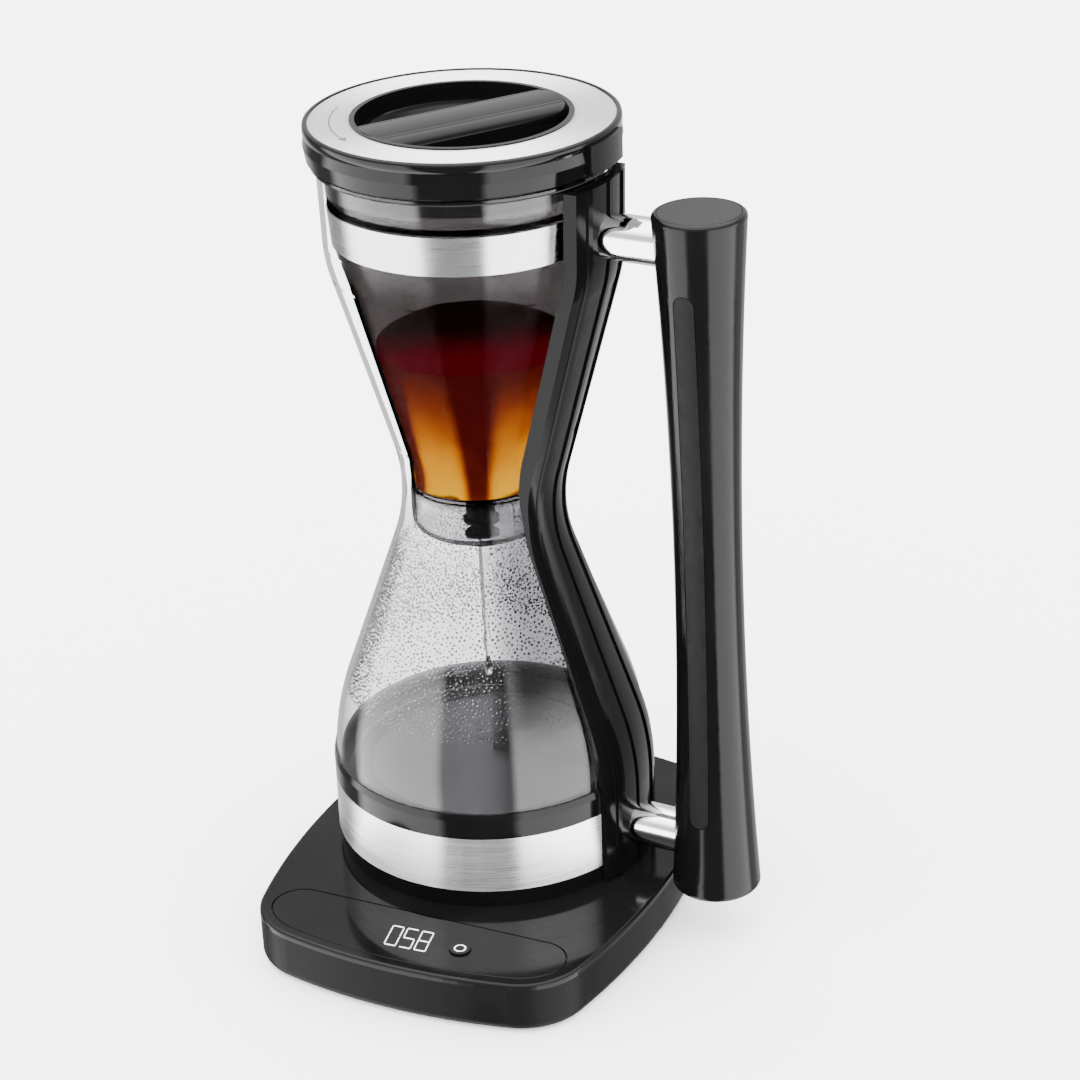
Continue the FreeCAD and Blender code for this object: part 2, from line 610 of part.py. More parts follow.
PUMP_BOX = (20, 52, -30, 2)
PUMP_TOP = DECK_BOTTOM - 1.6
PUMP_AXIS_Y = 0.5 * (PUMP_BOX[2] + PUMP_BOX[3])
MOTOR_RADIUS = 0.5 * float(PUMP_TOP - COVER_TOP) - 0.5
MOTOR_LENGTH = 26
TUBE_RADIUS = 2.4
TUBE_HEIGHT = 9.5


def air_tube():
    """The hose from the pump to the foot of the suction nozzle, level, with one round bend."""
    end_y = -float(size.nozzle_radius) - 1
    bend = end_y - PUMP_AXIS_Y
    half = bend * math.sqrt(0.5)
    start = FreeCAD.Vector(PUMP_BOX[0], PUMP_AXIS_Y, TUBE_HEIGHT)
    bend_in = FreeCAD.Vector(bend, PUMP_AXIS_Y, TUBE_HEIGHT)
    bend_middle = FreeCAD.Vector(bend - half, end_y - half, TUBE_HEIGHT)
    end = FreeCAD.Vector(0, end_y, TUBE_HEIGHT)
    path = Part.Wire([Part.makeLine(start, bend_in), Part.Arc(bend_in, bend_middle, end).toShape()])
    section = Part.Wire(Part.makeCircle(TUBE_RADIUS, start, FreeCAD.Vector(1, 0, 0)))
    return path.makePipeShell([section], True, False)


def suction_nozzle():
    """The nozzle that stands up into the carafe's foot, with its elbow below the deck."""
    bottom = TUBE_HEIGHT - TUBE_RADIUS - 1
    top = size.base_top + size.nozzle_height
    tube = cylinder(size.nozzle_radius, bottom, top)
    elbow = cylinder(size.nozzle_radius + 1, bottom, DECK_BOTTOM)
    return tube.fuse(elbow).cut(cylinder(size.nozzle_radius - 1.2, TUBE_HEIGHT, top))


solid_feature("base_housing", base_housing())
solid_feature("base_top_plate", base_top_plate())
solid_feature("control_panel", control_panel())
solid_feature("bottom_cover", bottom_cover())
solid_feature("cover_screws", Part.makeCompound([cover_screw(*place) for place in screw_places()]))
solid_feature("rubber_feet", Part.makeCompound(
    [cylinder(size.foot_pad_radius, 0, FOOT_SEAT, *place) for place in foot_places()]))
solid_feature("circuit_board", circuit_board())
solid_feature("display_module", block(DISPLAY_BOX, size.board_height + size.board_thickness,
                                      size.base_top - size.panel_thickness - 0.1))
solid_feature("start_button", start_button())
solid_feature("vacuum_pump", block(PUMP_BOX, COVER_TOP, PUMP_TOP))
solid_feature("pump_motor", Part.makeCylinder(
    MOTOR_RADIUS, MOTOR_LENGTH,
    FreeCAD.Vector(PUMP_BOX[1], PUMP_AXIS_Y, float(COVER_TOP) + MOTOR_RADIUS),
    FreeCAD.Vector(1, 0, 0)))
solid_feature("air_tube", air_tube())
solid_feature("suction_nozzle", suction_nozzle())
ring("nozzle_gasket", size.nozzle_radius + 0.05, size.nozzle_radius + 2.2, size.base_top, size.base_top + 1.6)
solid_feature("power_inlet", power_inlet())


# ------------------------------------------------------------------ carafe
STANDING = FreeCAD.Placement(FreeCAD.Vector(), FreeCAD.Rotation(FreeCAD.Vector(0, 0, 1), float(size.carafe_turn)))
VALVE_SEAT = size.nozzle_radius + 3.05
WEB_BOTTOM = FOOT_BOTTOM + 7
WEB_TOP = WEB_BOTTOM + 2.4
GLASS_CORNERS = [(float(size.glass_foot_radius), float(GLASS_FLOOR)),
                 (float(size.glass_foot_radius), float(GLASS_SHOULDER)),
                 (float(size.neck_corner_radius), float(NECK_HEIGHT)),
                 (float(MOUTH_RADIUS), float(MOUTH_HEIGHT)),
                 (float(size.rim_radius), float(RIM_HEIGHT))]
GLASS_ROUNDS = [float(size.bulb_round), float(size.neck_round), float(size.mouth_round)]


def raised(corners, first_height):
    """The same path with its first, upright run starting at another height."""
    return [(corners[0][0], first_height)] + corners[1:]


def vessel(outer, inner):
    """Turns a vessel that is closed at its foot, from its outer and inner paths."""
    foot, rim = outer[0].Vertexes[0].Point, outer[-1].Vertexes[-1].Point
    floor, mouth = inner[0].Vertexes[0].Point, inner[-1].Vertexes[-1].Point
    under, over = FreeCAD.Vector(0, 0, foot.z), FreeCAD.Vector(0, 0, floor.z)
    edges = [Part.makeLine(under, foot)] + outer + [Part.makeLine(rim, mouth)] + inner
    edges += [Part.makeLine(floor, over), Part.makeLine(over, under)]
    face = Part.Face(Part.Wire(Part.sortEdges(edges)[0]))
    return face.revolve(FreeCAD.Vector(), FreeCAD.Vector(0, 0, 1), 360)


def glass_body():
    """The hourglass: a blown shell of even wall with a flat floor."""
    inner, inner_rounds = offset_path(GLASS_CORNERS, GLASS_ROUNDS, float(size.glass_wall))
    floor = float(GLASS_FLOOR) + float(size.glass_base)
    return vessel(rounded_path(GLASS_CORNERS, GLASS_ROUNDS),
                  rounded_path(raised(inner, floor), inner_rounds))


turned("foot_sleeve", [
    (SLEEVE_INNER, FOOT_BOTTOM), (SLEEVE_RADIUS, FOOT_BOTTOM),
    (SLEEVE_RADIUS, BAND_TOP - 0.2), (SLEEVE_INNER, BAND_TOP - 0.2),
    (SLEEVE_INNER, WEB_TOP), (VALVE_SEAT, WEB_TOP), (VALVE_SEAT, WEB_BOTTOM),
    (SLEEVE_INNER, WEB_BOTTOM)])
ring("lower_band", SLEEVE_RADIUS + 0.1, SLEEVE_RADIUS + 0.1 + size.band_wall,
     BAND_BOTTOM, BAND_TOP)
turned("glass_collar", [
    (SLEEVE_INNER + 2, BAND_TOP), (SLEEVE_RADIUS + 0.1 + size.band_wall, BAND_TOP),
    (SLEEVE_RADIUS + 0.1 + size.band_wall, COLLAR_TOP - 3.2),
    (size.glass_foot_radius + 0.3, COLLAR_TOP), (size.glass_foot_radius + 0.1, COLLAR_TOP),
    (size.glass_foot_radius + 0.1, GLASS_FLOOR - 0.1), (SLEEVE_INNER + 2, GLASS_FLOOR - 0.1)])
turned("floor_disc", [(ZERO, BAND_TOP - 1.1), (SLEEVE_INNER - 0.2, BAND_TOP - 1.1),
                      (SLEEVE_INNER - 0.2, BAND_TOP), (ZERO, BAND_TOP)])
ring("floor_gasket", SLEEVE_INNER - 8, SLEEVE_INNER - 1, BAND_TOP + 0.05,
     GLASS_FLOOR - 0.05)
turned("check_valve", [
    (size.nozzle_radius + 0.4, size.base_top + 1.9), (VALVE_SEAT - 0.05, size.base_top + 1.9),
    (VALVE_SEAT - 0.05, WEB_TOP), (VALVE_SEAT + 2, WEB_TOP), (VALVE_SEAT + 2, WEB_TOP + 2),
    (size.nozzle_radius + 1, WEB_TOP + 8), (ZERO, WEB_TOP + 8),
    (ZERO, WEB_BOTTOM), (size.nozzle_radius + 0.4, WEB_BOTTOM)])
solid_feature("glass_body", glass_body())


# ------------------------------------------------------------------ spine, posts and handle
def spine_offset_path(extra):
    """The spine's outer path: thin along the bulb, thick along the mouth, upright over the band."""
    low, high = float(size.spine_proud_low) + extra, float(size.spine_proud_high) + extra
    foot, shoulder, neck, mouth, rim = GLASS_CORNERS
    low_run = FreeCAD.Vector(neck[0] - shoulder[0], 0, neck[1] - shoulder[1]).normalize()
    high_run = FreeCAD.Vector(mouth[0] - neck[0], 0, mouth[1] - neck[1]).normalize()
    low_side = FreeCAD.Vector(low_run.z, 0, -low_run.x) * low
    high_side = FreeCAD.Vector(high_run.z, 0, -high_run.x) * high
    foot_radius = float(SPINE_FOOT_RADIUS) + extra
    # where the sloping outer lines meet the upright foot, each other and the upright mouth
    rise = low_run.z / low_run.x
    start = (shoulder[0] + low_side.x, shoulder[1] + low_side.z)
    shoulder_up = (foot_radius, start[1] + (foot_radius - start[0]) * rise)
    climb = high_run.z / high_run.x
    end = (mouth[0] + high_side.x, mouth[1] + high_side.z)
    # the lower line is z = a + rise * x and the upper line is z = b + climb * x
    low_level = start[1] - rise * start[0]
    high_level = end[1] - climb * end[0]
    neck_x = (high_level - low_level) / (rise - climb)
    neck_up = (neck_x, low_level + rise * neck_x)
    mouth_x = mouth[0] + high
    mouth_up = (mouth_x, high_level + climb * mouth_x)
    corners = [(foot_radius, float(SPINE_FOOT)), shoulder_up, neck_up, mouth_up,
               (rim[0] + high, float(SPINE_TOP))]
    return rounded_path(corners, [float(size.spine_bulb_round), float(size.spine_neck_round),
                                  float(size.mouth_round)])


def spine_inner_path():
    """Just clear of the glass, from the spine's foot to its top."""
    outside, rounds = offset_path(GLASS_CORNERS, GLASS_ROUNDS, -float(size.spine_gap))
    glass = rounded_path(raised(outside, float(SPINE_FOOT)), rounds)
    top = glass.pop()
    lower_end = top.Vertexes[0].Point
    upper_end = top.Vertexes[1].Point
    share = (float(SPINE_TOP) - lower_end.z) / (upper_end.z - lower_end.z)
    return glass + [Part.makeLine(lower_end, lower_end + (upper_end - lower_end) * share)]


def spine_half_widths(share):
    """The half width of the spine at its levels, times a share: (half width, height)."""
    return [(float(size.spine_half_low) * share, float(SPINE_FOOT)),
            (float(size.spine_half_low) * share, float(GLASS_SHOULDER)),
            (float(size.spine_half_neck) * share, float(NECK_HEIGHT) - 8),
            (float(size.spine_half_high) * share, float(MOUTH_HEIGHT) - 12),
            (float(size.spine_half_high) * share, float(SPINE_TOP))]


def side_view_block(left, right):
    """A block along +X whose view from the side lies between two lines of (across, height)."""
    spots = [FreeCAD.Vector(0, across, up) for across, up in left + right[::-1]]
    face = Part.Face(Part.makePolygon(spots + spots[:1]))
    return face.extrude(FreeCAD.Vector(2 * float(HANDLE_FOOT_X), 0, 0))


def spine_band(extra, left, right):
    """The part of the turned spine that lies between two lines in the side view."""
    turned_band = turn_between(spine_offset_path(extra), spine_inner_path())
    return turned_band.common(side_view_block(left, right))


def spine():
    """The backbone that carries the handle: a strip that hugs the glass, with three ribs."""
    edge = spine_half_widths(1)
    strip = spine_band(0, [(-across, up) for across, up in edge], edge)
    half = float(size.rib_width) / 2
    for share in (-float(size.rib_share), 0, float(size.rib_share)):
        middle = spine_half_widths(share)
        rib = spine_band(float(size.rib_proud), [(across - half, up) for across, up in middle],
                         [(across + half, up) for across, up in middle])
        strip = strip.fuse(rib)
    collar = SLEEVE_RADIUS + size.band_wall + size.spine_gap + 0.1
    strip = strip.cut(cylinder(collar, SPINE_FOOT - 1, COLLAR_TOP + size.spine_gap))
    for height, start in post_starts():
        strip = strip.cut(post_cylinder(float(size.post_radius) + 0.02, start, handle_axis(height), height))
    return strip.removeSplitter()


def post_cylinder(radius, start, end, height):
    return Part.makeCylinder(radius, end - start, FreeCAD.Vector(start, 0, height), FreeCAD.Vector(1, 0, 0))


POST_SUNK_HIGH = 3
POST_SUNK_LOW = 1.6


def post_starts():
    """Height and inner end of the two posts, each let into the spine."""
    upper = float(MOUTH_RADIUS) + float(size.spine_proud_high) - POST_SUNK_HIGH
    lower = float(SPINE_FOOT_RADIUS) - POST_SUNK_LOW
    return [(float(RIM_HEIGHT - size.upper_post_drop), upper),
            (float(FOOT_BOTTOM + size.lower_post_rise), lower)]


def handle_axis(height):
    """The handle's axis, right of the carafe axis, at a height."""
    foot, head = float(HANDLE_FOOT), float(HANDLE_HEAD)
    share = (height - foot) / (head - foot)
    return float(HANDLE_FOOT_X) + share * (float(HANDLE_HEAD_X) - float(HANDLE_FOOT_X))


def handle_turned(inset):
    """The waisted handle, turned about its own leaning axis and inset all round."""
    foot, head = float(HANDLE_FOOT), float(HANDLE_HEAD)
    end = float(size.handle_end_radius) - inset
    waist = FreeCAD.Vector(float(size.handle_waist_radius) - inset, 0, float(HANDLE_WAIST))
    curve = Part.BSplineCurve()
    curve.interpolate([FreeCAD.Vector(end, 0, foot), waist, FreeCAD.Vector(end, 0, head)])
    edges = [Part.makeLine(FreeCAD.Vector(0, 0, foot), FreeCAD.Vector(end, 0, foot)), curve.toShape(),
             Part.makeLine(FreeCAD.Vector(end, 0, head), FreeCAD.Vector(0, 0, head)),
             Part.makeLine(FreeCAD.Vector(0, 0, head), FreeCAD.Vector(0, 0, foot))]
    return Part.Face(Part.Wire(edges)).revolve(FreeCAD.Vector(), FreeCAD.Vector(0, 0, 1), 360)


def lean(shape):
    """Moves a shape from the upright axis to the handle's leaning axis."""
    foot, head = float(HANDLE_FOOT), float(HANDLE_HEAD)
    run = float(HANDLE_HEAD_X) - float(HANDLE_FOOT_X)
    angle = math.degrees(math.atan2(run, head - foot))
    moved = shape.copy()
    moved.rotate(FreeCAD.Vector(0, 0, foot), FreeCAD.Vector(0, 1, 0), angle)
    moved.translate(FreeCAD.Vector(float(HANDLE_FOOT_X), 0, 0))
    return moved


def inlay_prism(side, grow):
    """A long slot with round ends, seen from the front, reaching from the handle's axis outwards."""
    half = float(size.inlay_width) / 2 + grow
    bottom = float(HANDLE_FOOT + size.inlay_foot_margin) - grow
    top = float(HANDLE_HEAD - size.inlay_head_margin) + grow
    spots = [FreeCAD.Vector(-half, 0, bottom + half), FreeCAD.Vector(-half, 0, top - half),
             FreeCAD.Vector(half, 0, top - half), FreeCAD.Vector(half, 0, bottom + half)]
    edges = [Part.makeLine(spots[0], spots[1]),
             Part.Arc(spots[1], FreeCAD.Vector(0, 0, top), spots[2]).toShape(),
             Part.makeLine(spots[2], spots[3]),
             Part.Arc(spots[3], FreeCAD.Vector(0, 0, bottom), spots[0]).toShape()]
    reach = side * float(size.handle_end_radius)
    return lean(Part.Face(Part.Wire(edges)).extrude(FreeCAD.Vector(0, reach, 0)))


def handle_core():
    """The handle's body with seats for the caps, the inlays and the posts."""
    foot, head = float(HANDLE_FOOT), float(HANDLE_HEAD)
    core = handle_turned(0)
    for height in (foot, head):
        core = round_level_edge(core, height, float(size.handle_edge_round))
    cap = float(size.cap_thickness)
    seat = CAP_RADIUS + size.seam_gap
    core = core.cut(cylinder(seat, foot, foot + cap)).cut(cylinder(seat, head - cap, head))
    core = lean(core)
    inner = lean(handle_turned(float(size.inlay_depth)))
    for side in (-1, 1):
        core = core.cut(inlay_prism(side, float(size.seam_gap)).cut(inner))
    for height, start in post_starts():
        core = core.cut(post_cylinder(float(size.post_radius) + 0.02, start, handle_axis(height) - 4, height))
        core = core.cut(post_cylinder(STUD_RADIUS, start, handle_axis(height) + STUD_REACH, height))
    return core


CAP_RADIUS = size.handle_end_radius - size.handle_edge_round - 0.6
STUD_RADIUS = 2.5
STUD_REACH = 8
STUD_LENGTH = 22


def grip_inlay(side):
    """A soft strip let into the handle, a hair below the handle's surface."""
    strip = lean(handle_turned(0.1)).common(inlay_prism(side, 0))
    return strip.cut(lean(handle_turned(float(size.inlay_depth))))


def post(height, start):
    """A chrome post from the spine into the handle, with a hole for its stud."""
    end = handle_axis(height) - 4
    stud = post_cylinder(STUD_RADIUS, end + 4 + STUD_REACH - STUD_LENGTH, end, height)
    return post_cylinder(float(size.post_radius), start, end, height).cut(stud)


def stud(height):
    end = handle_axis(height) + STUD_REACH
    return post_cylinder(STUD_RADIUS - 0.05, end - STUD_LENGTH, end, height)


solid_feature("spine", spine())
for post_name, (post_height, post_start) in zip(("upper_post", "lower_post"), post_starts()):
    solid_feature(post_name, post(post_height, post_start))
solid_feature("post_studs", Part.makeCompound([stud(height) for height, start in post_starts()]))
solid_feature("handle_core", handle_core())
solid_feature("handle_bottom_cap", lean(cylinder(CAP_RADIUS, HANDLE_FOOT,
                                                 HANDLE_FOOT + size.cap_thickness - 0.1)))
solid_feature("handle_top_cap", lean(cylinder(CAP_RADIUS, HANDLE_HEAD - size.cap_thickness + 0.1,
                                              HANDLE_HEAD)))
solid_feature("front_grip_inlay", grip_inlay(-1))
solid_feature("rear_grip_inlay", grip_inlay(1))


# ------------------------------------------------------------------ brewer
LEDGE_REACH = 3.5
LEDGE_THICKNESS = 2
LEDGE_RADIUS = CUP_RADIUS - size.brewer_wall - LEDGE_REACH


def brewer_corners():
    return [(float(size.valve_radius) + 0.05, float(CUP_BOTTOM)),
            (float(CUP_RADIUS), float(CUP_BOTTOM)),
            (float(CUP_RADIUS), float(CUP_TOP)),
            (float(BREW_BAND_LOW_RADIUS) - float(size.brew_band_wall), float(BREW_BAND_BOTTOM)),
            (float(BREW_TOP_RADIUS), float(FLANGE_TOP))]


def brew_cone():
    """The clear brewer: a cone that hangs in the mouth by its flange and ends in a cup in the neck."""
    corners = brewer_corners()
    rounds = [float(size.cup_round), float(size.cone_round), float(size.brew_mouth_round)]
    inner, inner_rounds = offset_path(corners, rounds, float(size.brewer_wall))
    cone = turn_between(rounded_path(corners, rounds), rounded_path(inner, inner_rounds))
    wall_inside = float(CUP_RADIUS) - float(size.brewer_wall)
    ledge = cylinder(wall_inside + 0.5, FILTER_SEAT - LEDGE_THICKNESS, FILTER_SEAT)
    ledge = ledge.cut(cylinder(LEDGE_RADIUS, FILTER_SEAT - LEDGE_THICKNESS, FILTER_SEAT))
    flange = cylinder(FLANGE_RADIUS, FLANGE_BOTTOM, FLANGE_TOP)
    flange = flange.cut(cylinder(BREW_TOP_RADIUS - 1, FLANGE_BOTTOM, FLANGE_TOP))
    return cone.fuse([ledge, flange]).removeSplitter()


def brew_band():
    """The steel band round the top of the brewer, on the taper of the cone."""
    low, high = float(BREW_BAND_BOTTOM), float(BREW_BAND_TOP)
    low_radius = float(BREW_BAND_LOW_RADIUS) - float(size.brew_band_wall)
    slope = (float(BREW_TOP_RADIUS) - low_radius) / (float(FLANGE_TOP) - low)
    # starts just above the rounded corner of the cone
    high_radius = low_radius + slope * (high - low)
    wall = float(size.brew_band_wall)
    outer = Part.makeCone(low_radius + wall, high_radius + wall, high - low, FreeCAD.Vector(0, 0, low))
    inner = Part.makeCone(low_radius + 0.1, high_radius + 0.1, high - low, FreeCAD.Vector(0, 0, low))
    return outer.cut(inner)


solid_feature("brew_cone", brew_cone())
solid_feature("brew_band", brew_band())
ring("brewer_seal", BREW_TOP_RADIUS + 0.1, FLANGE_RADIUS - 0.6, SEAL_BOTTOM, FLANGE_BOTTOM)
turned("valve_housing", [
    (size.stem_radius + size.stem_gap, CUP_BOTTOM), (size.valve_radius, CUP_BOTTOM),
    (size.valve_radius, CUP_BOTTOM + size.brewer_wall),
    (size.valve_radius + 1.6, CUP_BOTTOM + size.brewer_wall),
    (size.valve_radius + 1.6, CUP_BOTTOM + size.brewer_wall + 1.4),
    (size.valve_radius, CUP_BOTTOM + size.brewer_wall + 1.4),
    (size.valve_radius, VALVE_TOP), (size.stem_radius + size.stem_gap, VALVE_TOP)])
turned("drip_valve", [
    (ZERO, DRIP_BOTTOM), (size.drip_radius, DRIP_BOTTOM),
    (size.drip_radius, DRIP_BOTTOM + size.drip_thickness),
    (size.stem_radius, DRIP_BOTTOM + size.drip_thickness),
    (size.stem_radius, VALVE_TOP + 0.4), (size.valve_radius - 0.4, VALVE_TOP + 0.4),
    (size.valve_radius - 0.4, VALVE_TOP + 2), (ZERO, VALVE_TOP + 2)])
FILTER_RADIUS = CUP_RADIUS - size.brewer_wall - size.filter_gap
turned("filter_disc", [
    (ZERO, FILTER_SEAT + 0.1), (FILTER_RADIUS - 2, FILTER_SEAT + 0.1),
    (FILTER_RADIUS - 2, FILTER_SEAT + 0.7), (ZERO, FILTER_SEAT + 0.7)])
turned("filter_rim", [
    (FILTER_RADIUS - 1.9, FILTER_SEAT + 0.1), (FILTER_RADIUS, FILTER_SEAT + 0.1),
    (FILTER_RADIUS, FILTER_SEAT + 3), (FILTER_RADIUS - 1.2, FILTER_SEAT + 3),
    (FILTER_RADIUS - 1.9, FILTER_SEAT + 1.4)])
turned("filter_pull", [
    (ZERO, FILTER_SEAT + 0.75), (size.stem_radius, FILTER_SEAT + 0.75),
    (size.stem_radius - 2, FILTER_SEAT + 4), (size.stem_radius - 2, FILTER_SEAT + size.pull_height - 4),
    (size.stem_radius, FILTER_SEAT + size.pull_height - 1), (ZERO, FILTER_SEAT + size.pull_height)])


# ------------------------------------------------------------------ lid

def lid_shell():
    """The black lid: a thick rim that stands on the brewer, and the deck that carries disc and grip."""
    outline = [
        (GRIP_HOLE, LID_UNDER), (PLUG_RADIUS, LID_UNDER),
        (PLUG_RADIUS, LID_SEAT), (FLANGE_RADIUS - 3, LID_SEAT),
        (FLANGE_RADIUS - 3, LID_BOTTOM + 3), (LID_FOOT_RADIUS - size.lid_wall, LID_BOTTOM + 3),
        (LID_FOOT_RADIUS - size.lid_wall, LID_BOTTOM + 0.8),
        (LID_FOOT_RADIUS - 0.8, LID_BOTTOM), (LID_FOOT_RADIUS, LID_BOTTOM + 0.8),
        (LID_RADIUS, LID_BOTTOM + 7), (DISC_RADIUS + 1, LID_TOP - 0.4),
        (DISC_RADIUS + 0.15, LID_TOP - 0.1), (DISC_RADIUS + 0.15, LID_DECK),
        (GRIP_HOLE, LID_DECK)]
    return turned("lid_shell_turned", outline)


def thumb_lug():
    """A shallow lug on the lid's rim, above the handle."""
    top = float(LID_TOP) - 1.5
    bottom = float(LID_BOTTOM) + 1
    lug = Part.makeCylinder(float(LUG_RADIUS), top - bottom, FreeCAD.Vector(0, 0, bottom),
                            FreeCAD.Vector(0, 0, 1), float(size.lug_angle))
    lug.rotate(FreeCAD.Vector(), FreeCAD.Vector(0, 0, 1), -float(size.lug_angle) / 2)
    return lug.cut(cylinder(DISC_RADIUS, bottom, top))


def whole_lid():
    doc.recompute()
    shell = lid_shell()
    doc.recompute()
    SUB_PARTS[:] = [(part, spot) for part, spot in SUB_PARTS if part is not shell]
    lug = doc.addObject("Part::Feature", "thumb_lug")
    lug.Shape = thumb_lug()
    lid = doc.addObject("Part::Fuse", "lid_shell")
    lid.Base = shell
    lid.Tool = lug
    return keep(lid, "lid_shell")


def lid_grip():
    """The turning grip: a dish with a bar right across it, hung in the lid's hole by its lip."""
    radius, wall = float(DISH_RADIUS), float(size.dish_wall)
    floor, lip = float(DISH_FLOOR), float(LID_TOP) + 0.1
    outer = rounded_path([(0.01, floor), (radius - 6, floor), (radius, floor + 9), (radius, lip)], [4, 6])
    inner = rounded_path([(0.01, floor + wall), (radius - 6.8, floor + wall), (radius - wall, floor + 9.6),
                          (radius - wall, lip)], [4, 6])
    dish = vessel(outer, inner)
    over = lip + float(size.lip_thickness)
    rim = cylinder(radius + float(size.lip_reach), lip, over).cut(cylinder(radius - wall, lip, over))
    return dish.fuse([rim, grip_bar()]).removeSplitter()


def grip_bar():
    """The bar of the grip, with round shoulders and a slight crown, a little wider at its foot."""
    half = float(size.bar_width) / 2
    top = float(LID_TOP) + float(size.bar_proud)
    foot = float(DISH_FLOOR) + 1
    radius = float(DISH_RADIUS)
    shoulder = float(size.bar_shoulder)

    def spot(across, up):
        return FreeCAD.Vector(-radius, across, up)

    edges = []
    for side in (-1, 1):
        toe = spot(side * (half + float(size.bar_flare)), foot)
        low = spot(side * half, top - shoulder)
        middle = spot(side * (half - 0.25 * shoulder), top - 0.3 * shoulder)
        high = spot(side * (half - 0.95 * shoulder), top - 0.06 * shoulder)
        edges += [Part.makeLine(toe, low), Part.Arc(low, middle, high).toShape()]
    left_toe, right_toe = edges[0].Vertexes[0].Point, edges[2].Vertexes[0].Point
    left_high, right_high = edges[1].Vertexes[-1].Point, edges[3].Vertexes[-1].Point
    edges += [Part.Arc(left_high, spot(0, top), right_high).toShape(), Part.makeLine(right_toe, left_toe)]
    face = Part.Face(Part.Wire(Part.sortEdges(edges)[0]))
    bar = face.extrude(FreeCAD.Vector(2 * radius, 0, 0))
    bar.rotate(FreeCAD.Vector(), FreeCAD.Vector(0, 0, 1), float(size.bar_angle))
    upper = cylinder(radius - 0.5, foot + 8, top)
    lower = Part.makeCone(radius - 7, radius - 0.5, 8, FreeCAD.Vector(0, 0, foot))
    return bar.common(upper.fuse(lower))


whole_lid()
ring("lid_plug", PLUG_RADIUS - size.lid_wall, PLUG_RADIUS - 0.05, PLUG_BOTTOM, LID_UNDER)
ring("lid_disc", GRIP_HOLE, DISC_RADIUS, LID_DECK + 0.02, LID_TOP)
ring("lid_gasket", PLUG_RADIUS + 0.05, GASKET_RADIUS, PLUG_BOTTOM + 2, PLUG_BOTTOM + 5)
solid_feature("lid_grip", lid_grip())
ring("grip_retainer", DISH_RADIUS + 0.05, DISH_RADIUS + 4, LID_UNDER - 2, LID_UNDER - 0.3)


# ------------------------------------------------------------------ checks and export
doc.recompute()
for item in doc.Objects:
    if "Invalid" in item.State or "Error" in item.State:
        raise RuntimeError("%s failed: %s" % (item.Label, item.State))
for item, place in SUB_PARTS:
    if item.Shape.isNull() or not item.Shape.isValid():
        raise RuntimeError("%s has no valid shape" % item.Label)

# the origin is the middle of the footprint, on the ground
bounds = FreeCAD.BoundBox()
for item, place in SUB_PARTS:
    placed = item.Shape.copy()
    placed.Placement = place.multiply(placed.Placement)
    bounds.add(placed.optimalBoundingBox(False, False))
to_middle = FreeCAD.Placement(FreeCAD.Vector(-bounds.Center.x, -bounds.Center.y, 0), FreeCAD.Rotation())
for item, place in SUB_PARTS:
    item.Placement = to_middle.multiply(place).multiply(item.Placement)
doc.recompute()

os.makedirs("parts", exist_ok=True)
for item, place in SUB_PARTS:
    item.Shape.exportStep("parts/%s.step" % item.Label)
print("%d sub-parts, %.1f x %.1f x %.1f mm, middle at %.2f, %.2f" % (
    len(SUB_PARTS), bounds.XLength, bounds.YLength, bounds.ZLength, bounds.Center.x, bounds.Center.y))
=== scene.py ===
"""Finishes, small pieces and studio for a cold brew coffee maker.

The solids come from the frame. This script gives each of them its finish and puts a rounded deck and a
grooved panel in the place of two of them. It adds the lid's rim, the linings of the foot, the coffee, the
drops and the printed marks, and sets up a pale studio with two tall soft boxes.
"""
import json
import math

import bmesh
import bpy
from mathutils import Matrix, Vector
from mathutils.bvhtree import BVHTree

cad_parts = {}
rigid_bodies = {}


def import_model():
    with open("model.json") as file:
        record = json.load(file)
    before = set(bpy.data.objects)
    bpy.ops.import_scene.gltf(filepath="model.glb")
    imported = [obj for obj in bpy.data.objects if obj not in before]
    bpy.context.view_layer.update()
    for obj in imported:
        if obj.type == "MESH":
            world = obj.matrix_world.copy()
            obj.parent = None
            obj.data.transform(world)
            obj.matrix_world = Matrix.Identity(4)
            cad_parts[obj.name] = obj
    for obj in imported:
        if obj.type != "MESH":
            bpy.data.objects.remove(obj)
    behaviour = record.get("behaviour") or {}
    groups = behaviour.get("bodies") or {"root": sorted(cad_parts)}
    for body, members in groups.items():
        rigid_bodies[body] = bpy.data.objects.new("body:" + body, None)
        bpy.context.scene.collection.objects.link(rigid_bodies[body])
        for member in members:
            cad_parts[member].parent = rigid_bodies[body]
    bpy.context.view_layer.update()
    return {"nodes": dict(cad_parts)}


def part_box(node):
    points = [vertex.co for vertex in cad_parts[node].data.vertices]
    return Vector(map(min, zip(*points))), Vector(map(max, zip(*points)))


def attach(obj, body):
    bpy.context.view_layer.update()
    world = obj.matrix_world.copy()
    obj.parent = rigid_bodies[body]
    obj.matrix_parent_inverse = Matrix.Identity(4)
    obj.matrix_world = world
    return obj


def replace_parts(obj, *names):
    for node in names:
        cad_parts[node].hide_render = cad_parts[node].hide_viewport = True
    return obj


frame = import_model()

MM = 0.001
NODES = frame["nodes"]

# ------------------------------------------------------------------ places taken from the frame
BAND_LOW, BAND_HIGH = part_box("lower_band")
AXIS = Vector(((BAND_LOW.x + BAND_HIGH.x) / 2, (BAND_LOW.y + BAND_HIGH.y) / 2, 0))
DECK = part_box("base_top_plate")[1].z
DISC_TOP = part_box("lid_disc")[1].z
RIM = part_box("glass_body")[1].z
BAND_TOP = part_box("brew_band")[1].z
# where the stream ends and the drops begin
BULB_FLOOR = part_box("glass_body")[0].z + 42 * MM
CARAFE_TURN = math.radians(-3.5)

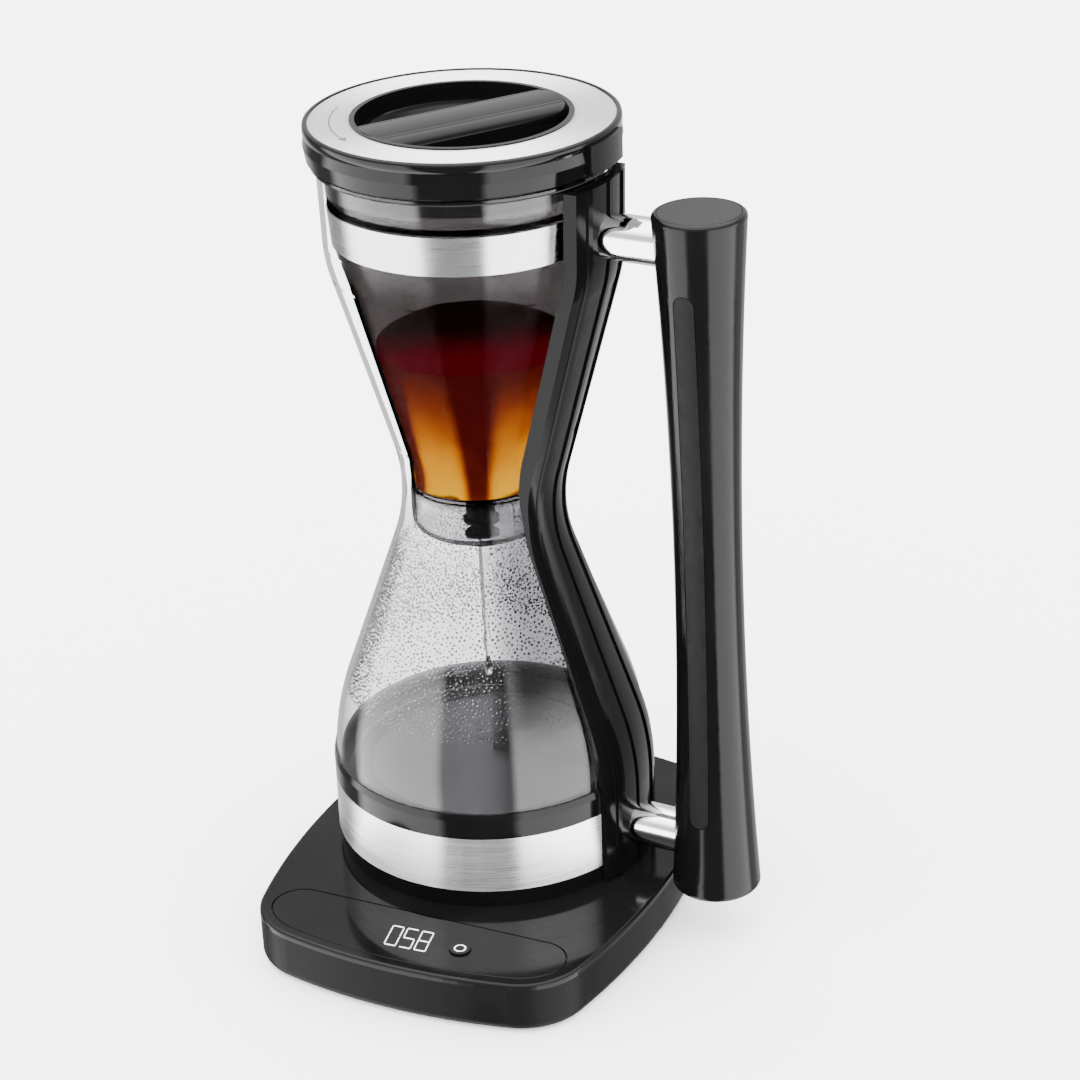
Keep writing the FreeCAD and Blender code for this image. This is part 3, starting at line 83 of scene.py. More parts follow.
# ------------------------------------------------------------------ tones
GLASS_INDEX, PLASTIC_INDEX, WATER_INDEX = 1.45, 1.5, 1.33
# how strongly the glass reflects, and how grey it is, at heights in metres
GLASS_SHINE = [(0.0, 0.9), (0.165, 0.7), (0.2, 0.015), (BAND_TOP + 0.0068, 0.015),
               (BAND_TOP + 0.0076, 0.45), (RIM, 0.5)]
GLASS_TONES = [(0.0, (0.8, 0.8, 0.81)), (0.18, (0.78, 0.78, 0.785)), (0.215, (0.93, 0.93, 0.93))]
# the bulb's heights, and the painted shade on its back beside the spine, in half turns round the axis
BULB_SPAN = [(0.05, 0.0), (0.065, 1.0), (0.165, 1.0), (0.19, 0.0)]
SPINE_SHADE = [(0.0, (1.0, 1.0, 1.0)), (0.08, (0.43, 0.43, 0.44)), (0.55, (0.45, 0.45, 0.465)),
               (0.605, (0.6, 0.6, 0.61)), (0.65, (1.0, 1.0, 1.0))]
# how strongly the bulb reflects where drops cover it beside the spine: the heights in metres, and the
# strength round the axis, in turns from the side across from the spine
DULL_SPAN = [(0.1, 0.0), (0.125, 1.0), (0.165, 1.0), (0.19, 0.0)]
DULL_SIDE = [(0.33, (1.0,) * 3), (0.365, (0.12,) * 3), (0.49, (0.12,) * 3), (0.52, (1.0,) * 3)]
# painted shade: how much darker the drops are tinted beside the spine, in the same turns
WATER_SHADE = [(0.32, (1.0,) * 3), (0.365, (0.12,) * 3), (0.78, (0.12,) * 3), (0.84, (1.0,) * 3)]


# ------------------------------------------------------------------ finishes
class Tree:
    """A node tree that is filled from a script."""

    def add(self, kind, inputs=(), **settings):
        """Adds a node, with its settings and with its inputs linked or set."""
        node = self.tree.nodes.new(kind)
        for key, value in settings.items():
            setattr(node, key, value)
        for key, value in dict(inputs).items():
            self.feed(node.inputs[key], value)
        return node

    def feed(self, socket, value):
        """Links or sets one input."""
        if isinstance(value, bpy.types.NodeSocket):
            self.tree.links.new(value, socket)
        else:
            socket.default_value = value


class Finish(Tree):
    """A material built round one Principled shader, with patterns that follow the object's own place."""

    def __init__(self, name, color, roughness, **values):
        self.material = bpy.data.materials.new(name)
        self.material.use_nodes = True
        self.tree = self.material.node_tree
        self.shader = self.tree.nodes["Principled BSDF"]
        self.shader.inputs["Base Color"].default_value = (*color, 1)
        self.shader.inputs["Roughness"].default_value = roughness
        for socket, value in values.items():
            self.shader.inputs[socket.replace("_", " ")].default_value = value
        self.place = self.add("ShaderNodeTexCoord").outputs["Object"]

    def calc(self, operation, first, second=0.0):
        """One sum of two values."""
        return self.add("ShaderNodeMath", {0: first, 1: second}, operation=operation).outputs[0]

    def from_axis(self):
        """Places seen from the carafe's axis."""
        return self.add("ShaderNodeMapping", {"Vector": self.place, "Location": -AXIS}).outputs["Vector"]

    def noise(self, scale, detail=2.0, stretch=(1, 1, 1), place=None):
        """A grey noise, its grain in features per metre, stretched along an axis."""
        spot = self.add("ShaderNodeMapping", {"Vector": place or self.place, "Scale": stretch})
        inputs = {"Vector": spot.outputs["Vector"], "Scale": scale, "Detail": detail}
        return self.add("ShaderNodeTexNoise", inputs).outputs["Fac"]

    def spread(self, value, low, high, start=0.35, end=0.65):
        """Spreads a grey value from start..end over low..high."""
        inputs = {"Value": value, "From Min": start, "From Max": end, "To Min": low, "To Max": high}
        return self.add("ShaderNodeMapRange", inputs).outputs["Result"]

    def ramp(self, value, stops):
        """Turns a grey value into colours at stops of (place, colour)."""
        node = self.add("ShaderNodeValToRGB", {"Fac": value})
        elements = node.color_ramp.elements
        while len(elements) < len(stops):
            elements.new(0.5)
        for element, (place, color) in zip(elements, stops):
            element.position = place
            element.color = (*color, 1)
        return node.outputs["Color"]

    def rough(self, value, low, high):
        """Varies the roughness with a grey value."""
        self.feed(self.shader.inputs["Roughness"], self.spread(value, low, high))
        return self

    def tint(self, value, low, high):
        """Varies the colour with a grey value."""
        self.feed(self.shader.inputs["Base Color"], self.ramp(value, [(0.35, low), (0.65, high)]))
        return self

    def bump(self, height, distance, strength=1.0):
        """Raises the surface by a grey height, in millimetres at full white."""
        inputs = {"Height": height, "Distance": distance * MM, "Strength": strength}
        node = self.add("ShaderNodeBump", inputs)
        self.feed(self.shader.inputs["Normal"], node.outputs["Normal"])
        return self


def gloss_plastic(name, shade, roughness, specular=0.5):
    """Polished moulded plastic: faint flow waves, a few dull smears and a colour that is never quite even."""
    finish = Finish(name, (shade,) * 3, roughness, Specular_IOR_Level=specular)
    smear = finish.noise(28, 3, (1, 1, 0.4))
    finish.tint(smear, (shade * 0.8,) * 3, (shade * 1.25, shade * 1.22, shade * 1.2))
    finish.rough(smear, roughness * 0.7, roughness * 1.4)
    return finish.bump(finish.noise(90, 1), 0.003)


def matt_plastic(name, color, grain=1400):
    """Spark-eroded plastic with an even, fine grain."""
    finish = Finish(name, color, 0.5, Specular_IOR_Level=0.12)
    grains = finish.noise(grain, 2)
    finish.tint(grains, tuple(0.8 * c for c in color), tuple(1.2 * c for c in color))
    finish.rough(grains, 0.42, 0.62)
    return finish.bump(grains, 0.03)


def brushed_steel(name, shade, roughness, around=True, pull=0.75):
    """Steel brushed round the carafe's axis, with hairlines that run along the brushing."""
    finish = Finish(name, (shade,) * 3, roughness, Metallic=1.0, Anisotropic=pull,
                    Anisotropic_Rotation=0.25)
    spot = finish.from_axis()
    flat = finish.add("ShaderNodeVectorMath", {0: spot, 1: (1, 1, 0)}, operation="MULTIPLY")
    radius = finish.add("ShaderNodeVectorMath", {0: flat.outputs["Vector"]}, operation="LENGTH")
    parts = finish.add("ShaderNodeSeparateXYZ", {0: spot})
    across = finish.calc("ADD", radius.outputs["Value"], parts.outputs["Z"])
    inputs = {"X": finish.calc("MULTIPLY", parts.outputs["X"], 0.01),
              "Y": finish.calc("MULTIPLY", parts.outputs["Y"], 0.01), "Z": across}
    line_place = finish.add("ShaderNodeCombineXYZ", inputs).outputs["Vector"]
    lines = finish.noise(2600, 3, (1, 1, 1), line_place)
    finish.tint(lines, (shade * 0.9,) * 3, (shade, shade, shade * 0.995))
    finish.rough(lines, roughness * 0.85, roughness * 1.15)
    if around:
        tangent = finish.add("ShaderNodeTangent", direction_type="RADIAL", axis="Z")
        finish.feed(finish.shader.inputs["Tangent"], tangent.outputs["Tangent"])
    return finish.bump(lines, 0.0015)


def chrome():
    """Mirror chrome with faint wipe marks."""
    finish = Finish("polished_chrome", (0.86, 0.87, 0.88), 0.04, Metallic=1.0)
    wipe = finish.noise(60, 3, (1, 1, 0.3))
    finish.tint(wipe, (0.8, 0.81, 0.82), (0.9, 0.9, 0.9))
    return finish.rough(wipe, 0.03, 0.09)


def see_through(finish, tint, index, gloss, bright_edge=False):
    """Makes a finish refract, with a reflection that is weaker than bare glass has, as behind a coating."""
    bend = finish.add("ShaderNodeBsdfRefraction", {"Color": tint, "IOR": index, "Roughness": 0.0})
    shine = finish.add("ShaderNodeBsdfGlossy", {"Color": (1, 1, 1, 1), "Roughness": 0.0})
    fresnel = finish.add("ShaderNodeFresnel", {"IOR": index}).outputs["Fac"]
    share = finish.calc("MULTIPLY", fresnel, gloss)
    if bright_edge:
        share = finish.calc("MAXIMUM", share, finish.spread(fresnel, 0, 1, 0.5, 1.0))
    mix = finish.add("ShaderNodeMixShader", {0: share, 1: bend.outputs["BSDF"], 2: shine.outputs["BSDF"]})
    finish.feed(finish.tree.nodes["Material Output"].inputs["Surface"], mix.outputs["Shader"])


def clear_glass():
    """Blown borosilicate glass, misted grey in its bulb, with painted shade on the bulb beside the spine."""
    finish = Finish("blown_glass", (0.9, 0.9, 0.9), 0.0, Transmission_Weight=1.0, IOR=GLASS_INDEX)
    place = finish.add("ShaderNodeSeparateXYZ", {0: finish.from_axis()})
    share = finish.spread(place.outputs["Z"], 0, 1, 0, RIM)
    wave = finish.ramp(finish.noise(14, 2, (1, 1, 0.3)), [(0.35, (0.98,) * 3), (0.65, (1.0,) * 3)])
    mist = finish.ramp(share, [(spot / RIM, tone) for spot, tone in GLASS_TONES])
    # painted shade: the bulb's back beside the spine is tinted darker, for the dark spine seen through it
    angle = finish.calc("ARCTAN2", place.outputs["Y"], place.outputs["X"])
    painted_spine_shade = finish.ramp(finish.calc("DIVIDE", angle, math.pi), SPINE_SHADE)
    bulb = finish.ramp(share, [(spot / RIM, (part,) * 3) for spot, part in BULB_SPAN])
    shade = finish.add("ShaderNodeMix", {"Factor": bulb, "A": (1, 1, 1, 1), "B": painted_spine_shade}, data_type="RGBA")
    misted = finish.add("ShaderNodeVectorMath", {0: wave, 1: mist}, operation="MULTIPLY").outputs["Vector"]
    tint = finish.add("ShaderNodeVectorMath", {0: misted, 1: shade.outputs["Result"]}, operation="MULTIPLY")
    gloss = finish.ramp(share, [(spot / RIM, (shine,) * 3) for spot, shine in GLASS_SHINE])
    dull = finish.ramp(finish.spread(angle, 0, 1, -math.pi, math.pi), DULL_SIDE)
    upper = finish.ramp(share, [(spot / RIM, (part,) * 3) for spot, part in DULL_SPAN])
    calm = finish.add("ShaderNodeMix", {"Factor": upper, "A": (1, 1, 1, 1), "B": dull}, data_type="RGBA")
    gloss = finish.calc("MULTIPLY", gloss, calm.outputs["Result"])
    see_through(finish, tint.outputs["Vector"], GLASS_INDEX, gloss, True)
    return finish


def smoky_plastic():
    """Clear plastic that coffee has tinted: clearer in the cup, and dark red along its edges."""
    finish = Finish("smoky_plastic", (0.5, 0.46, 0.47), 0.02, Transmission_Weight=1.0, IOR=PLASTIC_INDEX)
    height = finish.add("ShaderNodeSeparateXYZ", {0: finish.place}).outputs["Z"]
    uneven = finish.calc("ADD", height, finish.spread(finish.noise(40, 2), -1 * MM, 1 * MM))
    share = finish.spread(uneven, 0, 1, *SMOKE_SPAN)
    tint = finish.ramp(share, SMOKE_TONES)
    facing = finish.add("ShaderNodeLayerWeight", {"Blend": 0.5}).outputs["Facing"]
    rim = finish.calc("POWER", facing, SMOKE_EDGE_POWER)
    edge = finish.add("ShaderNodeMix", {"Factor": rim, "A": tint, "B": SMOKE_EDGE}, data_type="RGBA")
    gloss = finish.ramp(share, SMOKE_SHINE)
    see_through(finish, edge.outputs["Result"], PLASTIC_INDEX, gloss)
    return finish


def coffee():
    """Coffee with painted light: it glows in golden lobes near the filter as if lit through from behind, then
    amber, deep red and black, and its surface is painted lighter towards the front.
    """
    finish = Finish("coffee", (0.3, 0.05, 0.02), 0.2, Specular_IOR_Level=0.0)
    parts = finish.add("ShaderNodeSeparateXYZ", {0: finish.from_axis()})
    rise = finish.spread(parts.outputs["Z"], 0, 1, COFFEE_BOTTOM, COFFEE_TOP)
    # painted light: golden lobes and dark gaps round the axis, with deeper colours higher up
    angle = finish.calc("ARCTAN2", parts.outputs["Y"], parts.outputs["X"])
    wave = finish.calc("COSINE", finish.calc("MULTIPLY", finish.calc("ADD", angle, LOBE_START), LOBE_COUNT))
    between = finish.calc("POWER", finish.spread(wave, 1, 0, -1, 1), LOBE_POWER)
    wobble = finish.spread(finish.noise(70, 2), -0.04, 0.04)
    arch = finish.calc("ADD", rise, finish.calc("MULTIPLY", between, LOBE_DEPTH))
    most = finish.calc("ADD", finish.calc("MULTIPLY", rise, 0.2), GAP_DEPTH)
    depth = finish.calc("ADD", finish.calc("MINIMUM", arch, most), wobble)
    side = finish.ramp(finish.calc("DIVIDE", depth, DEEPEST), PAINTED_COFFEE_LIGHT)
    # painted light: the surface is dark at the back and lit towards the front
    toward_lit_side = finish.add("ShaderNodeVectorMath", {0: finish.from_axis(), 1: COFFEE_LIT_SIDE},
                         operation="DOT_PRODUCT")
    glow = finish.calc("ADD", finish.spread(toward_lit_side.outputs["Value"], 0, 1, -0.04, 0.04), wobble)
    top = finish.ramp(glow, PAINTED_SURFACE_LIGHT)
    surface = finish.calc("GREATER_THAN", parts.outputs["Z"], COFFEE_TOP - 0.3 * MM)
    mix = finish.add("ShaderNodeMix", {"Factor": surface}, data_type="RGBA")
    finish.feed(mix.inputs["A"], side)
    finish.feed(mix.inputs["B"], top)
    shade = mix.outputs["Result"]
    # painted light: the same colours feed the emission, so the coffee glows though it is no lamp
    finish.feed(finish.shader.inputs["Base Color"], shade)
    finish.feed(finish.shader.inputs["Emission Color"], shade)
    finish.shader.inputs["Emission Strength"].default_value = PAINTED_COFFEE_GLOW
    return finish


def circuit_green():
    """Green solder mask with copper tracks that show through."""
    finish = Finish("solder_mask", (0.02, 0.12, 0.05), 0.35)
    brick = finish.add("ShaderNodeTexBrick", {
        "Vector": finish.place, "Scale": 120.0, "Color1": (0.015, 0.11, 0.045, 1),
        "Color2": (0.02, 0.15, 0.06, 1), "Mortar": (0.05, 0.26, 0.1, 1), "Mortar Size": 0.03})
    finish.feed(finish.shader.inputs["Base Color"], brick.outputs["Color"])
    return finish.bump(brick.outputs["Fac"], 0.03)


def rubber(name, shade):
    """Matt rubber with a faint bloom."""
    finish = Finish(name, (shade,) * 3, 0.6, Specular_IOR_Level=0.12)
    bloom = finish.noise(220, 4)
    finish.tint(bloom, (shade * 0.7,) * 3, (shade * 1.5,) * 3)
    finish.rough(bloom, 0.5, 0.72)
    return finish.bump(finish.noise(1800, 2), 0.04)


def printed(name, color, glow=0.0):
    """Printed ink, a little uneven where the screen lifted."""
    finish = Finish(name, color, 0.4, Specular_IOR_Level=0.1)
    speck = finish.noise(900, 2)
    finish.tint(speck, tuple(0.85 * c for c in color), color)
    if glow:
        finish.shader.inputs["Emission Color"].default_value = (*color, 1)
        finish.shader.inputs["Emission Strength"].default_value = glow
    return finish


def water(name, low, high, spine_shaded=False):
    """Water between two greys, with painted shade on the drops beside the spine when asked for."""
    finish = Finish(name, (high, high, high), 0.0, Transmission_Weight=1.0, IOR=WATER_INDEX)
    grey = finish.ramp(finish.noise(200, 1), [(0.35, (low,) * 3), (0.65, (high,) * 3)])
    if spine_shaded:
        place = finish.add("ShaderNodeSeparateXYZ", {0: finish.from_axis()})
        angle = finish.calc("ARCTAN2", place.outputs["Y"], place.outputs["X"])
        # painted shade: drops beside the spine are tinted darker, for the dark spine seen in them
        near = finish.ramp(finish.spread(angle, 0, 1, -math.pi, math.pi), WATER_SHADE)
        grey = finish.add("ShaderNodeVectorMath", {0: grey, 1: near}, operation="MULTIPLY").outputs["Vector"]
    finish.feed(finish.shader.inputs["Base Color"], grey)
    return finish


COFFEE_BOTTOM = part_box("filter_disc")[1].z + 0.3 * MM
COFFEE_TOP = COFFEE_BOTTOM + 65 * MM
# tint and shine of the brewer's plastic, as (share of its height, value), from its cup to its flange
SMOKE_SPAN = [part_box("brew_cone")[side].z for side in (0, 1)]
BAND_SHARE = (BAND_TOP - SMOKE_SPAN[0]) / (SMOKE_SPAN[1] - SMOKE_SPAN[0])
FILTER_SHARE = (COFFEE_BOTTOM - SMOKE_SPAN[0]) / (SMOKE_SPAN[1] - SMOKE_SPAN[0])
SMOKE_TONES = [(0.0, (0.86, 0.86, 0.87)), (FILTER_SHARE - 0.03, (0.84, 0.83, 0.84)),
               (FILTER_SHARE - 0.005, (0.365, 0.35, 0.351)), (0.75, (0.345, 0.332, 0.333)),
               (0.85, (0.42, 0.405, 0.41))]
SMOKE_SHINE = [(0.0, (0.6,) * 3), (FILTER_SHARE - 0.03, (0.4,) * 3), (FILTER_SHARE, (0.01,) * 3),
               (BAND_SHARE - 0.19, (0.015,) * 3), (BAND_SHARE - 0.115, (0.35,) * 3),
               (BAND_SHARE - 0.02, (0.35,) * 3), (BAND_SHARE - 0.01, (0.01,) * 3),
               (BAND_SHARE + 0.025, (0.01,) * 3), (BAND_SHARE + 0.03, (0.8,) * 3)]
SMOKE_EDGE = (0.05, 0.015, 0.015, 1)
SMOKE_EDGE_POWER = 5.0
# painted light: the coffee's lit lobes and the dark gaps between them: how narrow the gaps are, and how deep
# they and the gaps look
LOBE_COUNT = 6
LOBE_START = math.radians(95)
LOBE_POWER = 4.0
LOBE_DEPTH = 1.2
GAP_DEPTH = 0.88
DEEPEST = 1.5
# painted light: how strongly the coffee glows
PAINTED_COFFEE_GLOW = 8.0
COFFEE_LIT_SIDE = (math.cos(math.radians(-60)), math.sin(math.radians(-60)), 0)
# painted light: colours of the coffee as if lit through from behind, from the filter up, and of its surface,
# dark at the back and lit towards the front
PAINTED_COFFEE_LIGHT = [(0.0, (0.25, 0.06, 0.0)), (0.025, (1.3, 0.66, 0.0)), (0.15, (1.1, 0.48, 0.0)),
                (0.27, (0.8, 0.27, 0.0)), (0.37, (0.5, 0.11, 0.004)), (0.47, (0.27, 0.04, 0.004)),
                (0.56, (0.15, 0.016, 0.004)), (0.65, (0.08, 0.005, 0.004)), (0.95, (0.025, 0.0016, 0.0024))]
PAINTED_SURFACE_LIGHT = [(0.0, (0.004, 0.0014, 0.0012)), (0.36, (0.005, 0.0012, 0.0012)),
                 (0.5, (0.025, 0.001, 0.002)), (0.74, (0.09, 0.001, 0.004))]

FINISHES = {
    "housing_black": gloss_plastic("housing_black", 0.003, 0.3, 0.04),
    "deck_black": gloss_plastic("deck_black", 0.0035, 0.08, 0.12),
    "piano_black": gloss_plastic("piano_black", 0.002, 0.07, 0.16),
    "spine_black": gloss_plastic("spine_black", 0.002, 0.12, 0.09),
    "handle_black": gloss_plastic("handle_black", 0.002, 0.14, 0.16),
    "band_steel": brushed_steel("band_steel", 0.93, 0.3, True, 0.95),
    "disc_steel": brushed_steel("disc_steel", 0.95, 0.5, True, 0.8),
    "floor_steel": brushed_steel("floor_steel", 0.55, 0.35, True, 0.3),
    "screw_steel": brushed_steel("screw_steel", 0.6, 0.3, False),
    "chrome": chrome(),
    "glass": clear_glass(),
    "smoky": smoky_plastic(),
    "coffee": coffee(),
    "drops": water("water_drops", 0.25, 0.6, True),
    "stream": water("water_stream", 0.7, 0.9),
    # the thin dark brown line just above the brewer's band
    "dark_brown_line": printed("dark_brown_line", (0.004, 0.0006, 0.0005)),
    "matt_black": matt_plastic("matt_black", (0.008, 0.008, 0.008)),
    "cap_grey": matt_plastic("cap_grey", (0.012, 0.012, 0.012), 900),
    "soft_grip": rubber("soft_grip", 0.003),
    "seal_rubber": rubber("seal_rubber", 0.012),
    "board": circuit_green(),
    "digit_white": printed("digit_white", (0.75, 0.77, 0.78), 0.5),
    "mark_grey": printed("mark_grey", (0.09, 0.09, 0.095)),
}

NODE_FINISH = {
    "base_housing": "housing_black", "base_top_plate": "deck_black", "control_panel": "deck_black",
    "bottom_cover": "matt_black", "cover_screws": "screw_steel", "rubber_feet": "seal_rubber",
    "circuit_board": "board", "display_module": "matt_black", "start_button": "piano_black",
    "vacuum_pump": "matt_black", "pump_motor": "screw_steel", "air_tube": "seal_rubber",
    "suction_nozzle": "matt_black", "nozzle_gasket": "seal_rubber", "power_inlet": "matt_black",
    "foot_sleeve": "piano_black", "lower_band": "band_steel", "glass_collar": "piano_black",
    "floor_disc": "floor_steel", "floor_gasket": "seal_rubber", "check_valve": "matt_black",
    "glass_body": "glass", "spine": "spine_black", "upper_post": "chrome", "lower_post": "chrome",
    "post_studs": "screw_steel", "handle_core": "handle_black", "handle_top_cap": "cap_grey",
    "handle_bottom_cap": "cap_grey", "front_grip_inlay": "soft_grip", "rear_grip_inlay": "soft_grip",
    "brew_cone": "smoky", "brew_band": "band_steel", "brewer_seal": "seal_rubber",
    "valve_housing": "matt_black", "drip_valve": "matt_black", "filter_disc": "screw_steel",
    "filter_rim": "matt_black", "filter_pull": "matt_black", "lid_shell": "piano_black",
    "lid_plug": "piano_black", "lid_disc": "disc_steel", "lid_gasket": "seal_rubber",
    "lid_grip": "piano_black", "grip_retainer": "matt_black",
}


def dress_nodes():
    """Gives each solid of the frame its finish."""
    for node, finish in NODE_FINISH.items():
        slots = NODES[node].data.materials
        slots.clear()
        slots.append(FINISHES[finish].material)


# ------------------------------------------------------------------ added pieces
TINY = 1e-6
CLEAR = 0.3 * MM


def piece(name, mesh, finish, body):
    """Adds a finished mesh in the row frame that moves with a body."""
    item = bpy.data.objects.new(name, mesh)
    bpy.context.scene.collection.objects.link(item)
    if not mesh.materials:
        mesh.materials.append(FINISHES[finish].material)
    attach(item, body)
    return item


def mesh_from(name, work, smooth=True):
    """Closes a bmesh, turns its faces outwards and makes it a mesh."""
    bmesh.ops.remove_doubles(work, verts=work.verts, dist=TINY)
    bmesh.ops.recalc_face_normals(work, faces=work.faces)
    mesh = bpy.data.meshes.new(name)
    work.to_mesh(mesh)
    work.free()
    for face in mesh.polygons:
        face.use_smooth = smooth
    return mesh


def ring_of(work, radius, height, steps):
    """The corners of a level ring about the carafe's axis."""
    turns = [2 * math.pi * step / steps for step in range(steps)]
    return [work.verts.new((AXIS.x + radius * math.cos(turn), AXIS.y + radius * math.sin(turn), height))
            for turn in turns]


def turned_mesh(name, outline, steps=96):
    """A closed body of revolution about the carafe's axis, from its outline of (radius, height)."""
    work = bmesh.new()
    rings = []
    for radius, height in outline:
        if radius < TINY:
            rings.append([work.verts.new((AXIS.x, AXIS.y, height))] * steps)
        else:
            rings.append(ring_of(work, radius, height, steps))
    for lower, upper in zip(rings, rings[1:]):
        for step in range(steps):
            after = (step + 1) % steps
            corners = [lower[step], lower[after], upper[after], upper[step]]
            face = list(dict.fromkeys(corners))
            if len(face) > 2:
                work.faces.new(face)
    return mesh_from(name, work)


def wall_finder(node):
    """Gives the inner radius of a hollow node at a height."""
    tree = BVHTree.FromObject(NODES[node], bpy.context.evaluated_depsgraph_get())
    direction = Vector((-1, -0.2, 0)).normalized()

    def radius(height):
        hit = tree.ray_cast(Vector((AXIS.x, AXIS.y, height)), direction)[0]
        return (Vector((hit.x, hit.y, 0)) - AXIS).length

    return radius


def make_coffee():
    """The coffee over the filter, a hair inside the brewer's wall and clear of the filter's pull."""
    inner = wall_finder("brew_cone")
    levels = 22
    low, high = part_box("filter_pull")
    pull = (high.x - low.x) / 2 + CLEAR
    outline = [(0, high.z + CLEAR), (pull, high.z + CLEAR), (pull, COFFEE_BOTTOM)]
    for step in range(levels + 1):
        height = COFFEE_BOTTOM + (COFFEE_TOP - COFFEE_BOTTOM) * step / levels
        outline.append((inner(height) - CLEAR, height))
    wall = outline[-1][0]
    outline[-1] = (wall, COFFEE_TOP - 0.6 * MM)
    outline.append((wall - 0.8 * MM, COFFEE_TOP))
    outline.append((0, COFFEE_TOP))
    piece("coffee", turned_mesh("coffee", outline), "coffee", "brewer")


def make_dark_wall_line():
    """A thin dark brown line on the brewer's inner wall, just above its steel band and below the lid."""
    inner = wall_finder("brew_cone")
    low, high, thick = BAND_TOP + 0.4 * MM, BAND_TOP + 3 * MM, 0.3 * MM
    outline = [(inner(low) - thick, low), (inner(low) - thick / 6, low), (inner(high) - thick / 6, high),
               (inner(high) - thick, high), (inner(low) - thick, low)]
    piece("dark_wall_line", turned_mesh("dark_wall_line", outline), "dark_brown_line", "brewer")


PANEL_MARGIN = 5.5 * MM
PANEL_CORNER = 13 * MM
PANEL_GROOVE = 0.5 * MM
PANEL_DEPTH = 1.2 * MM
PANEL_BEVEL = 0.25 * MM
DECK_ROUND = 1.6 * MM
DECK_ROUND_STEPS = 8
SHARP_ANGLE = math.radians(32)
# half the square that a round hole's plan grows from
HOLE_SEED = 1e-4
# how far the button's collar and the nozzle's elbow stand out below the deck
COLLAR = 1.0 * MM


def plan_of(node):
    """The outline of a node from above: the convex hull of its corners, counter-clockwise."""
    spots = sorted({(round(vertex.co.x, 6), round(vertex.co.y, 6)) for vertex in NODES[node].data.vertices})
    plan = []
    for run in (spots, spots[::-1]):
        chain = []
        for spot in map(Vector, run):
            while len(chain) > 1 and (chain[-1] - chain[-2]).cross(spot - chain[-1]) <= 0:
                chain.pop()
            chain.append(spot)
        plan += chain[:-1]
    return plan


def sides_of(plan):
    """Each side of a plan as its first corner and its outward direction."""
    for spot, following in zip(plan, plan[1:] + plan[:1]):
        along = (following - spot).normalized()
        yield spot, Vector((along.y, -along.x))


def trim_plan(plan, outward, limit):
    """What is left of a convex plan inside a straight line."""
    kept = []
    for spot, following in zip(plan, plan[1:] + plan[:1]):
        here, there = spot.dot(outward) - limit, following.dot(outward) - limit
        if here <= 0:
            kept.append(spot)
        if here * there < 0:
            kept.append(spot.lerp(following, here / (here - there)))
    return [spot for count, spot in enumerate(kept) if (spot - kept[count - 1]).length > 1e-5]


def shrink_plan(plan, inset):
    """A convex plan with each side moved in by an inset."""
    kept = plan
    for spot, outward in sides_of(plan):
        kept = trim_plan(kept, outward, spot.dot(outward) - inset)
    return kept


def grow_plan(plan, radius, arc=0.12):
    """A plan grown by a radius, with an arc round each of its corners."""
    turns = [math.atan2(outward.y, outward.x) for spot, outward in sides_of(plan)]
    spots = []
    for count, spot in enumerate(plan):
        sweep = (turns[count] - turns[count - 1]) % (2 * math.pi)
        sweep = 0 if sweep > math.pi else sweep
        steps = math.ceil(sweep / arc) + 1
        for step in range(steps + 1):
            turn = turns[count - 1] + sweep * step / steps
            spots.append(spot + radius * Vector((math.cos(turn), math.sin(turn))))
    return spots


def plate_mesh(name, rings):
    """A closed plate through rings of (corners, height), from the bottom up."""
    work = bmesh.new()
    loops = [[work.verts.new((spot.x, spot.y, height)) for spot in plan] for plan, height in rings]
    work.faces.new(loops[0][::-1])
    work.faces.new(loops[-1])
    for lower, upper in zip(loops, loops[1:]):
        for count in range(len(lower)):
            work.faces.new((lower[count - 1], lower[count], upper[count], upper[count - 1]))
    return mesh_from(name, work, False)


def cut_plate(name, plate, cutters):
    """Takes the cutters out of a plate and gives its edges their shading."""
    scene = bpy.context.scene.collection.objects
    blank = bpy.data.objects.new(name, plate)
    scene.link(blank)
    spares = [blank]
    for cutter in cutters:
        spare = bpy.data.objects.new("cutter", cutter)
        scene.link(spare)
        spares.append(spare)
        cut = blank.modifiers.new("cut", "BOOLEAN")
        cut.operation, cut.solver, cut.object = "DIFFERENCE", "EXACT", spare
    mesh = bpy.data.meshes.new_from_object(blank.evaluated_get(bpy.context.evaluated_depsgraph_get()))
    for face in mesh.polygons:
        face.use_smooth = True
    mesh.set_sharp_from_angle(angle=SHARP_ANGLE)
    blank.modifiers.clear()
    blank.data = mesh
    shading = blank.modifiers.new("shading", "WEIGHTED_NORMAL")
    shading.keep_sharp = True
    result = bpy.data.meshes.new_from_object(blank.evaluated_get(bpy.context.evaluated_depsgraph_get()))
    result.name = name
    result.materials.clear()
    for spare in spares:
        bpy.data.objects.remove(spare)
    return result


def round_hole(node, low, high, play=0.0):
    """A cutter for the hole round a node that has a collar below the deck."""
    first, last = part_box(node)
    centre = Vector(((first.x + last.x) / 2, (first.y + last.y) / 2))
    seed = [centre + HOLE_SEED * Vector(corner) for corner in ((-1, -1), (1, -1), (1, 1), (-1, 1))]
    plan = grow_plan(seed, (last.x - first.x) / 2 - COLLAR + play - HOLE_SEED)
    return plate_mesh("hole", [(plan, low), (plan, high)])


